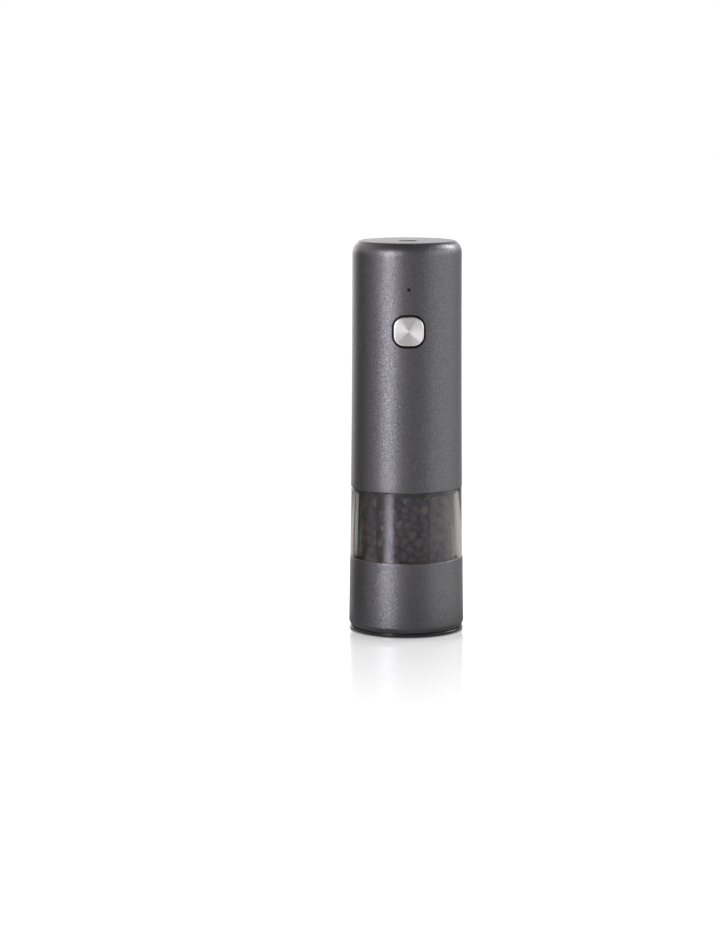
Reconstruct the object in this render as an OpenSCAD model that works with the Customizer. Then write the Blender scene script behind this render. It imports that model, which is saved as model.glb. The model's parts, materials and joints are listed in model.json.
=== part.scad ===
// Rechargeable pepper mill: a motor head that lifts off a clear chamber, over a ceramic grinder.
// The mill stands on its lid at z = 0 and its front, with the button, faces -Y.

/* [Outer shape] */
// Height of the whole mill
mill_h = 200; // [196:1:215]
// Outer radius of the casing near its top
top_r = 27.9; // [27.6:0.1:31]
// How much wider the outer surface is at the table than at the top, on the radius
flare = 1.7; // [1:0.1:3]
// Radius of the rounded edge around the top
top_edge_r = 4.35; // [2.5:0.05:5]
// Thickness of the painted metal casing and base sleeve
metal_t = 1.2; // [0.8:0.1:1.4]
// Height of the motor head, from the casing's lower edge to the top
head_h = 126; // [122:1:134]
// Height of the base sleeve's upper edge
base_h = 38; // [36:1:44]
// Height of the chamfer at the foot of the base sleeve
foot_chamfer_h = 2.2; // [1:0.1:4]
// Width of the chamfer at the foot of the base sleeve
foot_chamfer_w = 0.9; // [0.4:0.1:1.2]

/* [Lid under the base] */
// Thickness of the lid's plate
lid_t = 1.6; // [1.2:0.1:2]
// How far the lid's rim is set in from the outer surface
lid_inset = 0.6; // [0.3:0.1:1]
// Height of the lid's lip
lid_lip_h = 3.6; // [2:0.1:6]
// Thickness of the lid's lip
lid_lip_t = 1; // [0.8:0.1:1.2]

/* [Window and chamber] */
// Wall of the smoky outer tube at its thinnest
window_t = 1.7; // [1.5:0.1:2.2]
// How far the outer tube is set in from the outer surface
window_inset = 0.12; // [0.05:0.01:0.2]
// Wall of the lock ring between the window and the chamber
lock_ring_t = 1; // [0.9:0.05:1.6]
// Wall of the pepper chamber
chamber_t = 0.8; // [0.8:0.1:1.6]
// Number of spacer ribs on the chamber
rib_count = 6; // [3:1:12]
// How far the ribs are turned from the button, towards the right
rib_turn = -6; // [-30:1:30]
// Depth of the lock ring below the casing's edge
lock_ring_drop = 2.7; // [2:0.1:4]
// Height of the lock ring above the casing's edge
lock_ring_rise = 6; // [5:0.1:7]

/* [Button] */
// Depth of the button's centre below the top
button_drop = 44; // [38:1:50]
// Width of the button's face
button_w = 15.2; // [12:0.1:16]
// Height of the button's face
button_h = 14.9; // [12:0.1:16]
// Corner radius of the button's face
button_corner = 6.4; // [3:0.1:6.9]
// Width of the black frame that shows around the button
frame_w = 0.75; // [0.6:0.05:1.2]
// How far the button goes in
button_travel = 0.8; // [0.4:0.1:1]
// Depth of the light below the top
light_drop = 23; // [20:1:26]
// Radius of the light above the button
light_r = 0.9; // [0.5:0.05:1]

/* [Charging port] */
// Width of the slot in the top
port_w = 9.2; // [9:0.1:10]
// Depth of the slot in the top, front to back
port_d = 4.8; // [3.8:0.1:5]
// How far the slot's centre lies in front of the axis
port_front = 4; // [2:0.5:6]
// How far the charge light lies to the right of the axis
charge_light_x = 5.7; // [5.6:0.1:6.5]
// Radius of the charge light
charge_light_r = 0.5; // [0.4:0.05:0.6]

/* [Grinder] */
// Wall of the carrier around the outer burr
burr_carrier_t = 2.8; // [2.4:0.1:3.2]
// Wall of the outer burr at its bottom
burr_t = 2.2; // [1.8:0.1:2.6]
// Height of the burrs' cone
burr_h = 10; // [9:0.5:11]
// Radius of the inner burr's top
burr_top_r = 6; // [5:0.1:6.5]
// Gap between the burrs at the finest setting
fine_gap = 0.3; // [0.2:0.05:0.5]
// How far the outer burr rises from the finest to the coarsest setting
burr_lift = 0.8; // [0.4:0.1:1]
// Radius of the drive shaft
shaft_r = 2.5; // [2:0.1:2.8]

/* [Gearbox] */
// Rim of the ring gear outside its teeth
ring_rim_t = 2.7; // [2.2:0.1:3.2]
// Teeth on each sun gear
sun_teeth = 12; // [12:3:15]
// Teeth on each planet gear
planet_teeth = 15; // [12:3:15]
// Face width of the gears
gear_w = 6; // [5:0.5:6.5]
// Radius of the planets' pins
pin_r = 1.5; // [1.2:0.1:1.8]

/* [Motor and battery] */
// Radius of the motor's can
motor_r = 12.2; // [10:0.1:13]
// Length of the motor's can
motor_l = 27; // [24:0.5:29]
// Radius of the motor's shaft
motor_shaft_r = 1; // [0.8:0.1:1.2]
// Radius of the battery cell
cell_r = 7.1; // [6:0.1:7.5]
// Wall of the chassis
chassis_t = 1.6; // [1.2:0.1:2]

/* [Fits] */
// Radial clearance of parts that turn or slide in each other
run_gap = 0.08; // [0.05:0.01:0.1]
// Clearance of parts that only pass or surround each other
slip_gap = 0.3; // [0.2:0.02:0.34]

/* [Hidden] */

$fn = 96;
eps = 0.01;                 // overlap of cutters, so that no skin is left

// The outer surface widens towards the table, gently at first
function side_r(z) = top_r + flare * pow((mill_h - z) / mill_h, 2);
side_steps = 16;
function side_points(z0, z1, inset = 0) =
    [for (i = [0:side_steps]) let (z = z0 + (z1 - z0) * i / side_steps) [side_r(z) - inset, z]];
function arc(cx, cy, r, a0, a1, n = 12) =
    [for (i = [0:n]) let (a = a0 + (a1 - a0) * i / n) [cx + r * cos(a), cy + r * sin(a)]];

// Where the head starts and where its button and light stand
casing_z = mill_h - head_h;
button_z = mill_h - button_drop;
light_z = mill_h - light_drop;

// Radii of the nested tubes
casing_bore_r = top_r - metal_t;
sleeve_bore_r = side_r(base_h) - metal_t;
core_r = sleeve_bore_r - slip_gap;
core_t = 1.65;
core_bore_r = core_r - core_t;
window_bore_r = side_r(casing_z) - window_inset - window_t;
lock_r = min(window_bore_r, casing_bore_r) - slip_gap;
lock_ring_gap = 0.2;
chamber_r = lock_r - lock_ring_t - lock_ring_gap;
chamber_bore_r = chamber_r - chamber_t;
chassis_r = casing_bore_r - slip_gap;
chassis_bore_r = chassis_r - chassis_t;
rib_start = -90 + 180 / rib_count + rib_turn;

// Radii of the grinder's parts, from the lid's lip inwards
boss_r = 2.4;
screw_r = 1.25;
screw_hole_r = 1.4;
screw_head_r = 2.2;
screw_head_gap = 0.6;
housing_t = 1.9;
flange_r = core_bore_r - run_gap - lid_lip_t - slip_gap;
boss_circle_r = flange_r - boss_r;
housing_r = boss_circle_r - screw_head_r - screw_head_gap;
housing_bore_r = housing_r - housing_t;
burr_r = housing_bore_r - run_gap - burr_carrier_t;
inner_burr_r = burr_r - burr_t - fine_gap;
burr_slope = (inner_burr_r - burr_top_r) / burr_h;
inner_tube_r = housing_r + 0.2;
inner_tube_t = 1.2;

// Heights of the base's parts
foot_gap = 0.6;
sleeve_z = lid_t + foot_gap;
spigot_h = 4;
core_top = base_h - spigot_h;
housing_z = lid_t + 1.8;
housing_lip_t = 1;
housing_lip_w = 1.8;
flange_t = 1.6;
dial_z = housing_z + housing_lip_t;
dial_h = 4.4;
carrier_z = dial_z + dial_h;
carrier_lip_t = 1;
burr_z = carrier_z + carrier_lip_t;
burr_top = burr_z + burr_h;
spring_h = 5.6;
hub_z = burr_top + spring_h + slip_gap;
hub_h = 3.4;
housing_top = hub_z + hub_h;
neck_h = 2;
funnel_z = housing_top + neck_h;
web_z = 12;
web_t = 2;

// Heights of the head's parts, from the lock ring up
lock_top = casing_z + lock_ring_rise;
floor_t = 2;
floor_top = lock_top + floor_t;
plug_t = 3.2;
plug_plate_t = 2;
plug_r = chamber_bore_r - slip_gap;
hub_r = 5;
hub_drop = 4.4;
bush_t = 1.45;
shaft_tip_z = floor_top + 1;
carrier_gap = 0.4;
carrier_t = 2;
stage_h = carrier_gap + carrier_t + gear_w + 0.8;
stage2_z = floor_top + carrier_gap;
stage1_z = stage2_z + stage_h;
ring_top = stage1_z + stage_h + 0.7;
plate_t = 2;
motor_z = ring_top + plate_t;
motor_shaft_in = 21;        // how far the shaft and its bore reach into the can
motor_screw_x = 8;          // also where the motor's terminals stand
terminal_room = 7.1;        // above the can, for its end cap, terminals and wires

// Heights of the head's parts, from the top down
casing_top_in = mill_h - metal_t;
surround_t = 1.9;
surround_z = casing_top_in - surround_t;
board_shelf_top = mill_h - 9;
shelf_t = 1.6;
cell_top = board_shelf_top - shelf_t - 0.2;
cell_z = motor_z + motor_l + terminal_room + shelf_t;
cell_l = cell_top - cell_z; // the cell fills the room between its shelf and the charging board's
cell_y = 9;
chassis_top = mill_h - 5;
pcb_t = 1.4;
usb_w = 8.94;               // the connector's standard shell
usb_d = 3.26;
port_y = -port_front;

// Depths from the axis to the button's parts, counted towards the front
frame_seat_gap = 0.15;
button_face_d = side_r(button_z) - 0.2;
button_t = 2.5;
frame_gap = 0.22;
frame_outer_w = button_w + 2 * (frame_gap + frame_w);
frame_outer_h = button_h + 2 * (frame_gap + frame_w);
frame_plate_t = 1.5;
frame_plate_rim = 1.5;
// the frame's plate lies against the chassis's inside
frame_back_d = sqrt(pow(chassis_bore_r, 2) - pow(frame_outer_w / 2 + frame_plate_rim, 2))
    - frame_plate_t - frame_seat_gap;
board_front_d = 14;
switch_h = 3.5;
switch_w = 6.2;
plunger_r = 1.65;
plunger_out = 1;
stem_r = 2;
board_w = 28;
board_below_button = 14;
board_above_light = 8;
board_low_z = button_z - board_below_button;
board_high_z = light_z + board_above_light;

// Gears
ring_teeth = sun_teeth + 2 * planet_teeth;
planet_count = 3;
ear_r = 2.5;
ear_overlap = 0.1;
ear_gap = 0.4;
ear_circle_r = chassis_bore_r - ear_gap - ear_r;
ring_r = ear_circle_r - ear_r + ear_overlap;
gear_m = 2 * (ring_r - ring_rim_t) / ring_teeth;
planet_circle_r = gear_m * (sun_teeth + planet_teeth) / 2;
addendum = 0.85 * gear_m;
dedendum = 1.15 * gear_m;
backlash = 0.2 * gear_m;
carrier_r = planet_circle_r + 3.6;

// ---------- shared shapes ----------

module tube(r_out, r_in, z0, z1) {
    translate([0, 0, z0]) linear_extrude(z1 - z0) difference() {
        circle(r_out);
        circle(r_in);
    }
}

module rod(r, z0, z1) {
    translate([0, 0, z0]) cylinder(r = r, h = z1 - z0);
}

module spread(count, first = 0) {
    for (i = [0:count - 1]) rotate([0, 0, first + i * 360 / count]) children();
}

// A flat shape stood up to face the front, between two distances from the axis
module facing_front(d0, d1) {
    rotate([90, 0, 0]) translate([0, 0, d0]) linear_extrude(d1 - d0) children();
}

module rounded_rect(w, h, r) {
    square([w, h - 2 * r], center = true);
    square([w - 2 * r, h], center = true);
    for (x = [-1, 1], y = [-1, 1]) translate([x * (w / 2 - r), y * (h / 2 - r)]) circle(r, $fn = 48);
}

module stadium(w, d) {
    square([w - d, d], center = true);
    for (x = [-1, 1]) translate([x * (w - d) / 2, 0]) circle(d / 2, $fn = 48);
}

// A pan-head screw whose head sits on z = 0 and whose shank goes down
module screw(shank_l, head_h = 1.2) {
    rod(screw_r, -shank_l, eps);
    difference() {
        rod(screw_head_r, 0, head_h);
        for (a = [0, 90]) rotate([0, 0, a]) translate([0, 0, head_h]) cube([2.6, 0.6, 1.1], center = true);
    }
}

// A round-wire coil spring between two heights
module coil(mean_r, wire_r, turns, z0, z1) {
    sides = 8;
    steps = turns * 20;
    rise = (z1 - z0 - 2 * wire_r) / steps;
    points = [for (i = [0:steps], k = [0:sides - 1])
        let (a = i * 360 * turns / steps, b = k * 360 / sides, r = mean_r + wire_r * cos(b))
        [r * cos(a), r * sin(a), z0 + wire_r + i * rise + wire_r * sin(b)]];
    walls = [for (i = [0:steps - 1], k = [0:sides - 1]) let (n = (k + 1) % sides)
        [i * sides + k, (i + 1) * sides + k, (i + 1) * sides + n, i * sides + n]];
    start = [[for (k = [0:sides - 1]) k]];
    end = [[for (k = [sides - 1:-1:0]) steps * sides + k]];
    polyhedron(points = points, faces = concat(start, walls, end), convexity = 6);
}

// ---------- gears ----------

function involute(r, base_r) = let (c = acos(min(1, base_r / r))) tan(c) * 180 / PI - c;

// Half of a tooth's angle at a radius; play takes backlash off the tooth
function half_tooth(teeth, r, play) =
    let (pitch_r = gear_m * teeth / 2, base_r = pitch_r * cos(20))
    90 / teeth - play / 4 / pitch_r * 180 / PI
    + involute(pitch_r, base_r) - involute(max(r, base_r), base_r);

function polar(r, a) = [r * cos(a), r * sin(a)];

module gear_outline(teeth, low, high, play) {
    pitch_r = gear_m * teeth / 2;
    radii = [pitch_r - low, pitch_r, pitch_r + high];
    polygon([for (t = [0:teeth - 1], side = [-1, 1], j = [0:2])
        let (r = radii[side < 0 ? j : 2 - j])
        polar(r, t * 360 / teeth + side * half_tooth(teeth, r, play))]);
}

// A tooth points along +X
module gear(teeth, bore_r, z0, z1) {
    translate([0, 0, z0]) linear_extrude(z1 - z0) difference() {
        gear_outline(teeth, dedendum, addendum, backlash);
        circle(bore_r);
    }
}

// Each planet turns a space towards the sun's tooth
module planet(stage_z, index) {
    gear_z = stage_z + carrier_t + carrier_gap;
    color("ivory") rotate([0, 0, index * 360 / planet_count]) translate([planet_circle_r, 0, 0])
        rotate([0, 0, 180 + 180 / planet_teeth]) gear(planet_teeth, pin_r + run_gap, gear_z, gear_z + gear_w);
}

module carrier(stage_z) {
    rod(carrier_r, stage_z, stage_z + carrier_t);
    spread(planet_count) translate([planet_circle_r, 0, 0])
        rod(pin_r, stage_z + carrier_t - eps, stage_z + carrier_t + gear_w + 0.6);
}

module ears() {
    spread(3, 90) translate([ear_circle_r, 0]) circle(ear_r);
}

module ear_holes(r) {
    spread(3, 90) translate([ear_circle_r, 0]) circle(r);
}

// ---------- head: casing, port, button and light ----------

module port_slot(grow = 0) {
    translate([0, port_y]) stadium(port_w + 2 * grow, port_d + 2 * grow);
}

module button_outline(grow) {
    translate([0, button_z])
        rounded_rect(button_w + 2 * grow, button_h + 2 * grow, button_corner + grow);
}

module upper_casing() {
    inner_edge_r = max(0.5, top_edge_r - metal_t);
    edge_x = top_r - top_edge_r;
    edge_z = mill_h - top_edge_r;
    color("dimgray") difference() {
        rotate_extrude() polygon(concat(
            [[0, mill_h]],
            [for (p = arc(edge_x, edge_z, top_edge_r, 90, 0)) p],
            [for (i = [side_steps:-1:0]) side_points(casing_z, edge_z)[i]],
            [[casing_bore_r, casing_z]],
            arc(casing_bore_r - inner_edge_r, casing_top_in - inner_edge_r, inner_edge_r, 0, 90),
            [[0, casing_top_in]]));
        translate([0, 0, casing_top_in - 1]) linear_extrude(metal_t + 2) port_slot();
        translate([charge_light_x, port_y, 0]) rod(charge_light_r + run_gap, casing_top_in - 1, mill_h + 1);
        facing_front(chassis_bore_r, side_r(button_z) + 2) button_outline(frame_gap + frame_w + run_gap);
        facing_front(chassis_bore_r, side_r(light_z) + 2) translate([0, light_z]) circle(light_r + run_gap);
    }
}

module port_surround() {
    lip_t = 1.2;
    color("black") difference() {
        union() {
            translate([0, 0, surround_z]) linear_extrude(surround_t) translate([0, port_y])
                rounded_rect(14.6, 8, 2);
            translate([0, 0, casing_top_in - eps]) linear_extrude(metal_t - 0.1) port_slot(-run_gap);
        }
        translate([0, port_y, surround_z - 1]) linear_extrude(surround_t + 0.8)
            stadium(usb_w + 0.1, usb_d + 0.1);
        translate([0, port_y, casing_top_in - 1]) linear_extrude(metal_t + lip_t + 1)
            stadium(usb_w - 0.4, usb_d - 0.4);
        translate([charge_light_x, port_y, 0]) rod(charge_light_r + run_gap, surround_z - 1, mill_h);
    }
}

module usb_socket() {
    shell_t = 0.3;
    low = board_shelf_top + pcb_t;
    high = casing_top_in - 0.25;
    color("silver") {
        translate([0, port_y, low]) linear_extrude(high - low) difference() {
            stadium(usb_w, usb_d);
            stadium(usb_w - 2 * shell_t, usb_d - 2 * shell_t);
        }
        translate([0, port_y, low]) linear_extrude(1.6) stadium(usb_w - shell_t, usb_d - shell_t);
        translate([0, port_y, (low + high) / 2]) cube([6.7, 0.7, high - low - 0.6], center = true);
    }
}

charging_board_w = 22;
charging_board_d = 15;

module charging_board() {
    color("darkgreen") translate([0, port_y, board_shelf_top]) linear_extrude(pcb_t)
        square([charging_board_w, charging_board_d], center = true);
}

module charge_light() {
    flange_r = 1.1;
    color("lightgray") translate([charge_light_x, port_y, 0]) {
        rod(charge_light_r, board_shelf_top + pcb_t, mill_h - 0.05);
        rod(flange_r, surround_z - 1, surround_z);
    }
}

module button_frame() {
    front_r = side_r(button_z) + 0.12;
    color("black") difference() {
        union() {
            intersection() {
                facing_front(frame_back_d, front_r) button_outline(frame_gap + frame_w);
                rod(front_r, button_z - button_h, button_z + button_h);
            }
            facing_front(frame_back_d, frame_back_d + frame_plate_t) translate([0, button_z])
                rounded_rect(frame_outer_w + 2 * frame_plate_rim, frame_outer_h + 2 * frame_plate_rim, 3);
        }
        facing_front(frame_back_d + frame_plate_t, front_r + 1) button_outline(frame_gap);
        facing_front(frame_back_d - 1, frame_back_d + frame_plate_t + 1) translate([0, button_z])
            circle(stem_r + run_gap);
    }
}

module power_button() {
    edge = 0.35;
    stem_end_d = board_front_d + switch_h + plunger_out;
    color("lightgray") {
        facing_front(button_face_d - button_t, button_face_d - edge) button_outline(0);
        facing_front(button_face_d - edge - eps, button_face_d) button_outline(-edge);
        facing_front(stem_end_d, button_face_d - button_t + eps) translate([0, button_z]) circle(stem_r);
    }
}

module switch_plunger() {
    color("black") facing_front(board_front_d + 1.3, board_front_d + switch_h + plunger_out)
        translate([0, button_z]) circle(plunger_r);
}

module push_switch() {
    color("gray") difference() {
        facing_front(board_front_d, board_front_d + switch_h) translate([0, button_z])
            square(switch_w, center = true);
        facing_front(board_front_d + 0.2, board_front_d + switch_h + 1) translate([0, button_z])
            circle(plunger_r + run_gap);
    }
}

module button_spring() {
    color("silver") translate([0, 0, button_z]) rotate([90, 0, 0])
        coil(3.2, 0.25, 3, frame_back_d + frame_plate_t, button_face_d - button_t);
}

module front_light_pipe() {
    color("black") {
        facing_front(board_front_d + 1.3, side_r(light_z) - 0.05) translate([0, light_z]) circle(light_r);
        facing_front(chassis_bore_r - 2, chassis_bore_r - 1) translate([0, light_z]) circle(light_r + 1);
    }
}

module status_led() {
    color("white") facing_front(board_front_d, board_front_d + 1.2) translate([0, light_z])
        square([3, 2], center = true);
}

module control_board() {
    color("darkgreen") facing_front(board_front_d - pcb_t, board_front_d)
        translate([-board_w / 2, board_low_z]) square([board_w, board_high_z - board_low_z]);
}

module battery_cell() {
    nub_h = 1;
    color("royalblue") translate([0, cell_y, 0]) {
        rod(cell_r, cell_z, cell_top - nub_h);
        rod(cell_r / 2.5, cell_top - nub_h - eps, cell_top);
    }
}

// ---------- head: wires ----------

wire_r = 0.6;
wire_stand = wire_r + 0.1;   // from a wire's middle to the face it is joined to
board_back_y = pcb_t - board_front_d;
motor_lead_end_z = max(board_low_z, cell_z) + 5;
cell_lead_x = 8;
cell_lead_rise = 7;

// A smooth curve through a list of points
function curve_point(p0, p1, p2, p3, t) =
    0.5 * (2 * p1 + (p2 - p0) * t + (2 * p0 - 5 * p1 + 4 * p2 - p3) * t * t
    + (3 * p1 - p0 - 3 * p2 + p3) * t * t * t);
function curve(points, steps = 4) = let (last = len(points) - 1) concat(
    [for (i = [0:last - 1], k = [0:steps - 1])
        curve_point(points[max(0, i - 1)], points[i], points[i + 1], points[min(last, i + 2)], k / steps)],
    [points[last]]);

function unit(v) = v / norm(v);

// A round wire along a route, as one closed tube
module wire(route) {
    sides = 8;
    path = curve(route);
    last = len(path) - 1;
    points = [for (i = [0:last])
        let (ahead = unit(path[min(last, i + 1)] - path[max(0, i - 1)]),
            across = unit(cross(ahead, [1, 0.2, 0])), up = cross(ahead, across))
        for (k = [0:sides - 1]) let (a = k * 360 / sides)
        path[i] + wire_r * (cos(a) * across + sin(a) * up)];
    walls = [for (i = [0:last - 1], k = [0:sides - 1]) let (n = (k + 1) % sides)
        [i * sides + k, (i + 1) * sides + k, (i + 1) * sides + n, i * sides + n]];
    start = [[for (k = [0:sides - 1]) k]];
    end = [[for (k = [sides - 1:-1:0]) last * sides + k]];
    polyhedron(points = points, faces = concat(start, walls, end), convexity = 6);
}

module pair_of_wires(points) {
    for (s = [0, 1]) mirror([s, 0, 0]) wire(points);
}

module motor_leads() {
    tab_z = motor_z + motor_l + end_cap_t + 0.6 * terminal_h;
    color("red") pair_of_wires([[motor_screw_x, -terminal_t / 2 - wire_stand, tab_z - 0.4],
        [motor_screw_x - 0.4, -1.6 - wire_stand, tab_z + 1.4], [4, -6, cell_z - 3], [3, -8.5, cell_z + 1],
        [3, board_back_y + wire_stand + 1, motor_lead_end_z - 3],
        [3, board_back_y + wire_stand, motor_lead_end_z]]);
}

module cell_leads() {
    side_y = cell_y - cell_r - wire_stand;
    color("red") for (z = [cell_z + 4, cell_top - 9])
        wire([[0, side_y, z], [0.2 * cell_lead_x, side_y - 1, z + 0.2 * cell_lead_rise],
            [0.6 * cell_lead_x, side_y - 5, z + 0.4 * cell_lead_rise],
            [cell_lead_x, board_back_y + wire_stand + 1, z + 0.65 * cell_lead_rise],
            [cell_lead_x, board_back_y + wire_stand, z + cell_lead_rise]]);
}

module charge_leads() {
    color("red") pair_of_wires([[2, -7, board_shelf_top - wire_stand],
        [2, -8.5, board_shelf_top - wire_stand - 0.8], [2, -10, board_shelf_top - 3],
        [2, board_back_y + wire_stand + 0.6, board_high_z - 3],
        [2, board_back_y + wire_stand, board_high_z - 6]]);
}

// ---------- head: chassis ----------

chassis_boss_r = 2.7;
chassis_boss_in = 4.5;
chassis_boss_x = chassis_bore_r - chassis_boss_in;
chassis_boss_l = 32;
chassis_screw_l = 16;
chassis_screw_y = 9;
chassis_screw_above = 5.8;  // the lower screws, above the cell's shelf
chassis_screw_below = 12;   // the upper screws, below the charging board's shelf
chassis_screw_zs = [cell_z + chassis_screw_above, board_shelf_top - chassis_screw_below];
motor_ring_z = motor_z + motor_l - 6;
motor_ring_h = 3;
saddle_t = 2;
saddle_low_z = cell_z + 11;
saddle_high_z = cell_top - 13;
cell_shelf_front = 11.5;    // the cell's shelf is open in front of this depth, for the board and button
rail_w = 3.2;
rail_back = 4;              // how far the rails reach behind the board's face
rail_foot = 1.5;

module chassis_shell() {
    intersection() {
        difference() {
            union() {
                tube(chassis_r, chassis_bore_r, floor_top, chassis_top);
                // shelves under the cell and under the charging board, and a ring around the motor
                difference() {
                    rod(chassis_r - eps, cell_z - shelf_t, cell_z);
                    translate([-chassis_r, -2 * chassis_r - cell_shelf_front, cell_z - shelf_t - 1])
                        cube([2 * chassis_r, 2 * chassis_r, shelf_t + 2]);
                }
                rod(chassis_r - eps, board_shelf_top - shelf_t, board_shelf_top);
                tube(chassis_r - eps, motor_r + run_gap, motor_ring_z, motor_ring_z + motor_ring_h);
                // saddles that hold the cell from behind
                for (z = [saddle_low_z, saddle_high_z]) difference() {
                    intersection() {
                        rod(chassis_r - eps, z, z + saddle_t);
                        translate([-chassis_r, cell_y, z]) cube([2 * chassis_r, chassis_r, saddle_t]);
                    }
                    translate([0, cell_y, 0]) rod(cell_r + 0.15, z - 1, z + saddle_t + 1);
                }
                // rails that hold the control board's edges
                for (s = [-1, 1]) translate([s * (board_w / 2 + rail_w / 2 - 1), 0, 0]) difference() {
                    translate([-rail_w / 2, -chassis_bore_r, board_low_z - rail_foot])
                        cube([rail_w, chassis_bore_r - board_front_d + rail_back,
                            board_high_z - board_low_z + rail_foot]);
                    translate([-s * (rail_w / 2 - 0.5), pcb_t / 2 - board_front_d, board_low_z + mill_h / 2])
                        cube([rail_w - 1 + 0.1, pcb_t + 0.04, mill_h], center = true);
                }
                for (x = [-1, 1], z = chassis_screw_zs) translate([x * chassis_boss_x, 0, z])
                    rotate([90, 0, 0]) cylinder(r = chassis_boss_r, h = chassis_boss_l, center = true);
            }
            facing_front(chassis_bore_r - 4, chassis_r + 1) button_outline(frame_gap + frame_w + slip_gap);
            facing_front(board_front_d + 1, chassis_r + 1) translate([0, light_z]) circle(light_r + 0.15);
            // passages for the wires
            for (z = [cell_z, board_shelf_top])
                translate([-4, -11, z - shelf_t - 1]) cube([8, 8, shelf_t + 2]);
            for (x = [-1, 1], z = chassis_screw_zs)
                translate([x * chassis_boss_x, chassis_screw_y, z]) rotate([-90, 0, 0]) {
                    translate([0, 0, -chassis_screw_l - 1]) cylinder(r = screw_r, h = chassis_screw_l + 2);
                    cylinder(r = screw_head_r + 0.2, h = chassis_r);
                }
        }
        rod(chassis_r, floor_top, chassis_top);
    }
}

module chassis_front() {
    color("darkslategray") intersection() {
        chassis_shell();
        translate([-mill_h, -2 * mill_h, 0]) cube(2 * mill_h);
    }
}

module chassis_rear() {
    color("slategray") intersection() {
        chassis_shell();
        translate([-mill_h, 0, 0]) cube(2 * mill_h);
    }
}

module chassis_screws() {
    color("silver") for (x = [-1, 1], z = chassis_screw_zs)
        translate([x * chassis_boss_x, chassis_screw_y, z]) rotate([-90, 0, 0]) screw(chassis_screw_l);
}

// ---------- head: motor and gearbox ----------

motor_boss_r = 3;
motor_screw_l = 4.5;
end_cap_t = 1.6;
end_cap_inset = 0.8;
rear_bearing_r = 4;
rear_bearing_h = 0.8;
terminal_w = 2;
terminal_t = 0.5;
terminal_h = 2;

module motor_can() {
    color("silver") difference() {
        union() {
            rod(motor_r, motor_z, motor_z + motor_l);
            rod(motor_boss_r, ring_top + 0.4, motor_z + eps);
        }
        rod(motor_shaft_r + run_gap, ring_top - 1, motor_z + motor_shaft_in + 1);
        for (x = [-1, 1]) translate([x * motor_screw_x, 0, 0])
            rod(screw_r, motor_z - 1, ring_top + 1 + motor_screw_l + 0.5);
    }
}

module motor_end_cap() {
    color("white") {
        rod(motor_r - end_cap_inset, motor_z + motor_l, motor_z + motor_l + end_cap_t);
        translate([0, 0, motor_z + motor_l + end_cap_t - eps]) {
            rod(rear_bearing_r, 0, rear_bearing_h + eps);
            for (x = [-1, 1]) translate([x * motor_screw_x - terminal_w / 2, -terminal_t / 2, 0])
                cube([terminal_w, terminal_t, terminal_h + eps]);
        }
    }
}

module motor_screws() {
    color("silver") for (x = [-1, 1]) translate([x * motor_screw_x, 0, ring_top + 1]) mirror([0, 0, 1])
        screw(motor_screw_l, 0.9);
}

module motor_shaft() {
    color("silver") rod(motor_shaft_r, stage1_z + carrier_t + carrier_gap, motor_z + motor_shaft_in);
}

module motor_pinion() {
    gear_z = stage1_z + carrier_t + carrier_gap;
    color("gold") gear(sun_teeth, motor_shaft_r, gear_z, gear_z + gear_w);
}

module motor_plate() {
    color("gray") difference() {
        translate([0, 0, ring_top]) linear_extrude(plate_t) difference() {
            union() {
                circle(ring_r);
                ears();
            }
            ear_holes(screw_hole_r);
            circle(motor_boss_r + run_gap);
            for (x = [-1, 1]) translate([x * motor_screw_x, 0]) circle(screw_hole_r);
        }
        for (x = [-1, 1]) translate([x * motor_screw_x, 0, 0])
            rod(screw_head_r + 0.1, ring_top - 1, ring_top + 1);
    }
}

module ring_gear() {
    space_phase = planet_teeth % 2 == 1 ? 0 : 180 / ring_teeth;
    color("whitesmoke") translate([0, 0, floor_top]) linear_extrude(ring_top - floor_top) difference() {
        union() {
            circle(ring_r);
            ears();
        }
        rotate([0, 0, space_phase]) gear_outline(ring_teeth, addendum, dedendum, -backlash);
        ear_holes(screw_hole_r);
    }
}

gearbox_screw_in = 3.4;

module gearbox_screws() {
    color("silver") spread(3, 90) translate([ear_circle_r, 0, ring_top + plate_t])
        screw(ring_top + plate_t - floor_top + gearbox_screw_in);
}

module planet_1a() { planet(stage1_z, 0); }
module planet_1b() { planet(stage1_z, 1); }
module planet_1c() { planet(stage1_z, 2); }
module planet_2a() { planet(stage2_z, 0); }
module planet_2b() { planet(stage2_z, 1); }
module planet_2c() { planet(stage2_z, 2); }

module carrier_1() {
    color("ivory") {
        carrier(stage1_z);
        gear(sun_teeth, 0.6, stage2_z + carrier_t + carrier_gap, stage1_z + eps);
    }
}

module hex_rod(r, z0, z1) {
    translate([0, 0, z0]) cylinder(r = r, h = z1 - z0, $fn = 6);
}

module carrier_2() {
    color("ivory") difference() {
        union() {
            carrier(stage2_z);
            rod(hub_r, floor_top - floor_t - hub_drop, stage2_z + eps);
        }
        hex_rod(shaft_r + 0.25, floor_top - floor_t - hub_drop - 1, shaft_tip_z + 0.4);
    }
}

module output_bush() {
    color("peru") tube(hub_r + bush_t, hub_r + run_gap, casing_z + 0.8, floor_top);
}

// ---------- head: floor that closes the chamber ----------

seal_wire_r = 0.9;
seal_z = casing_z + 3;

module seal_ring() {
    color("firebrick") rotate_extrude() translate([chamber_bore_r - run_gap - seal_wire_r, seal_z])
        circle(seal_wire_r, $fn = 24);
}

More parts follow.
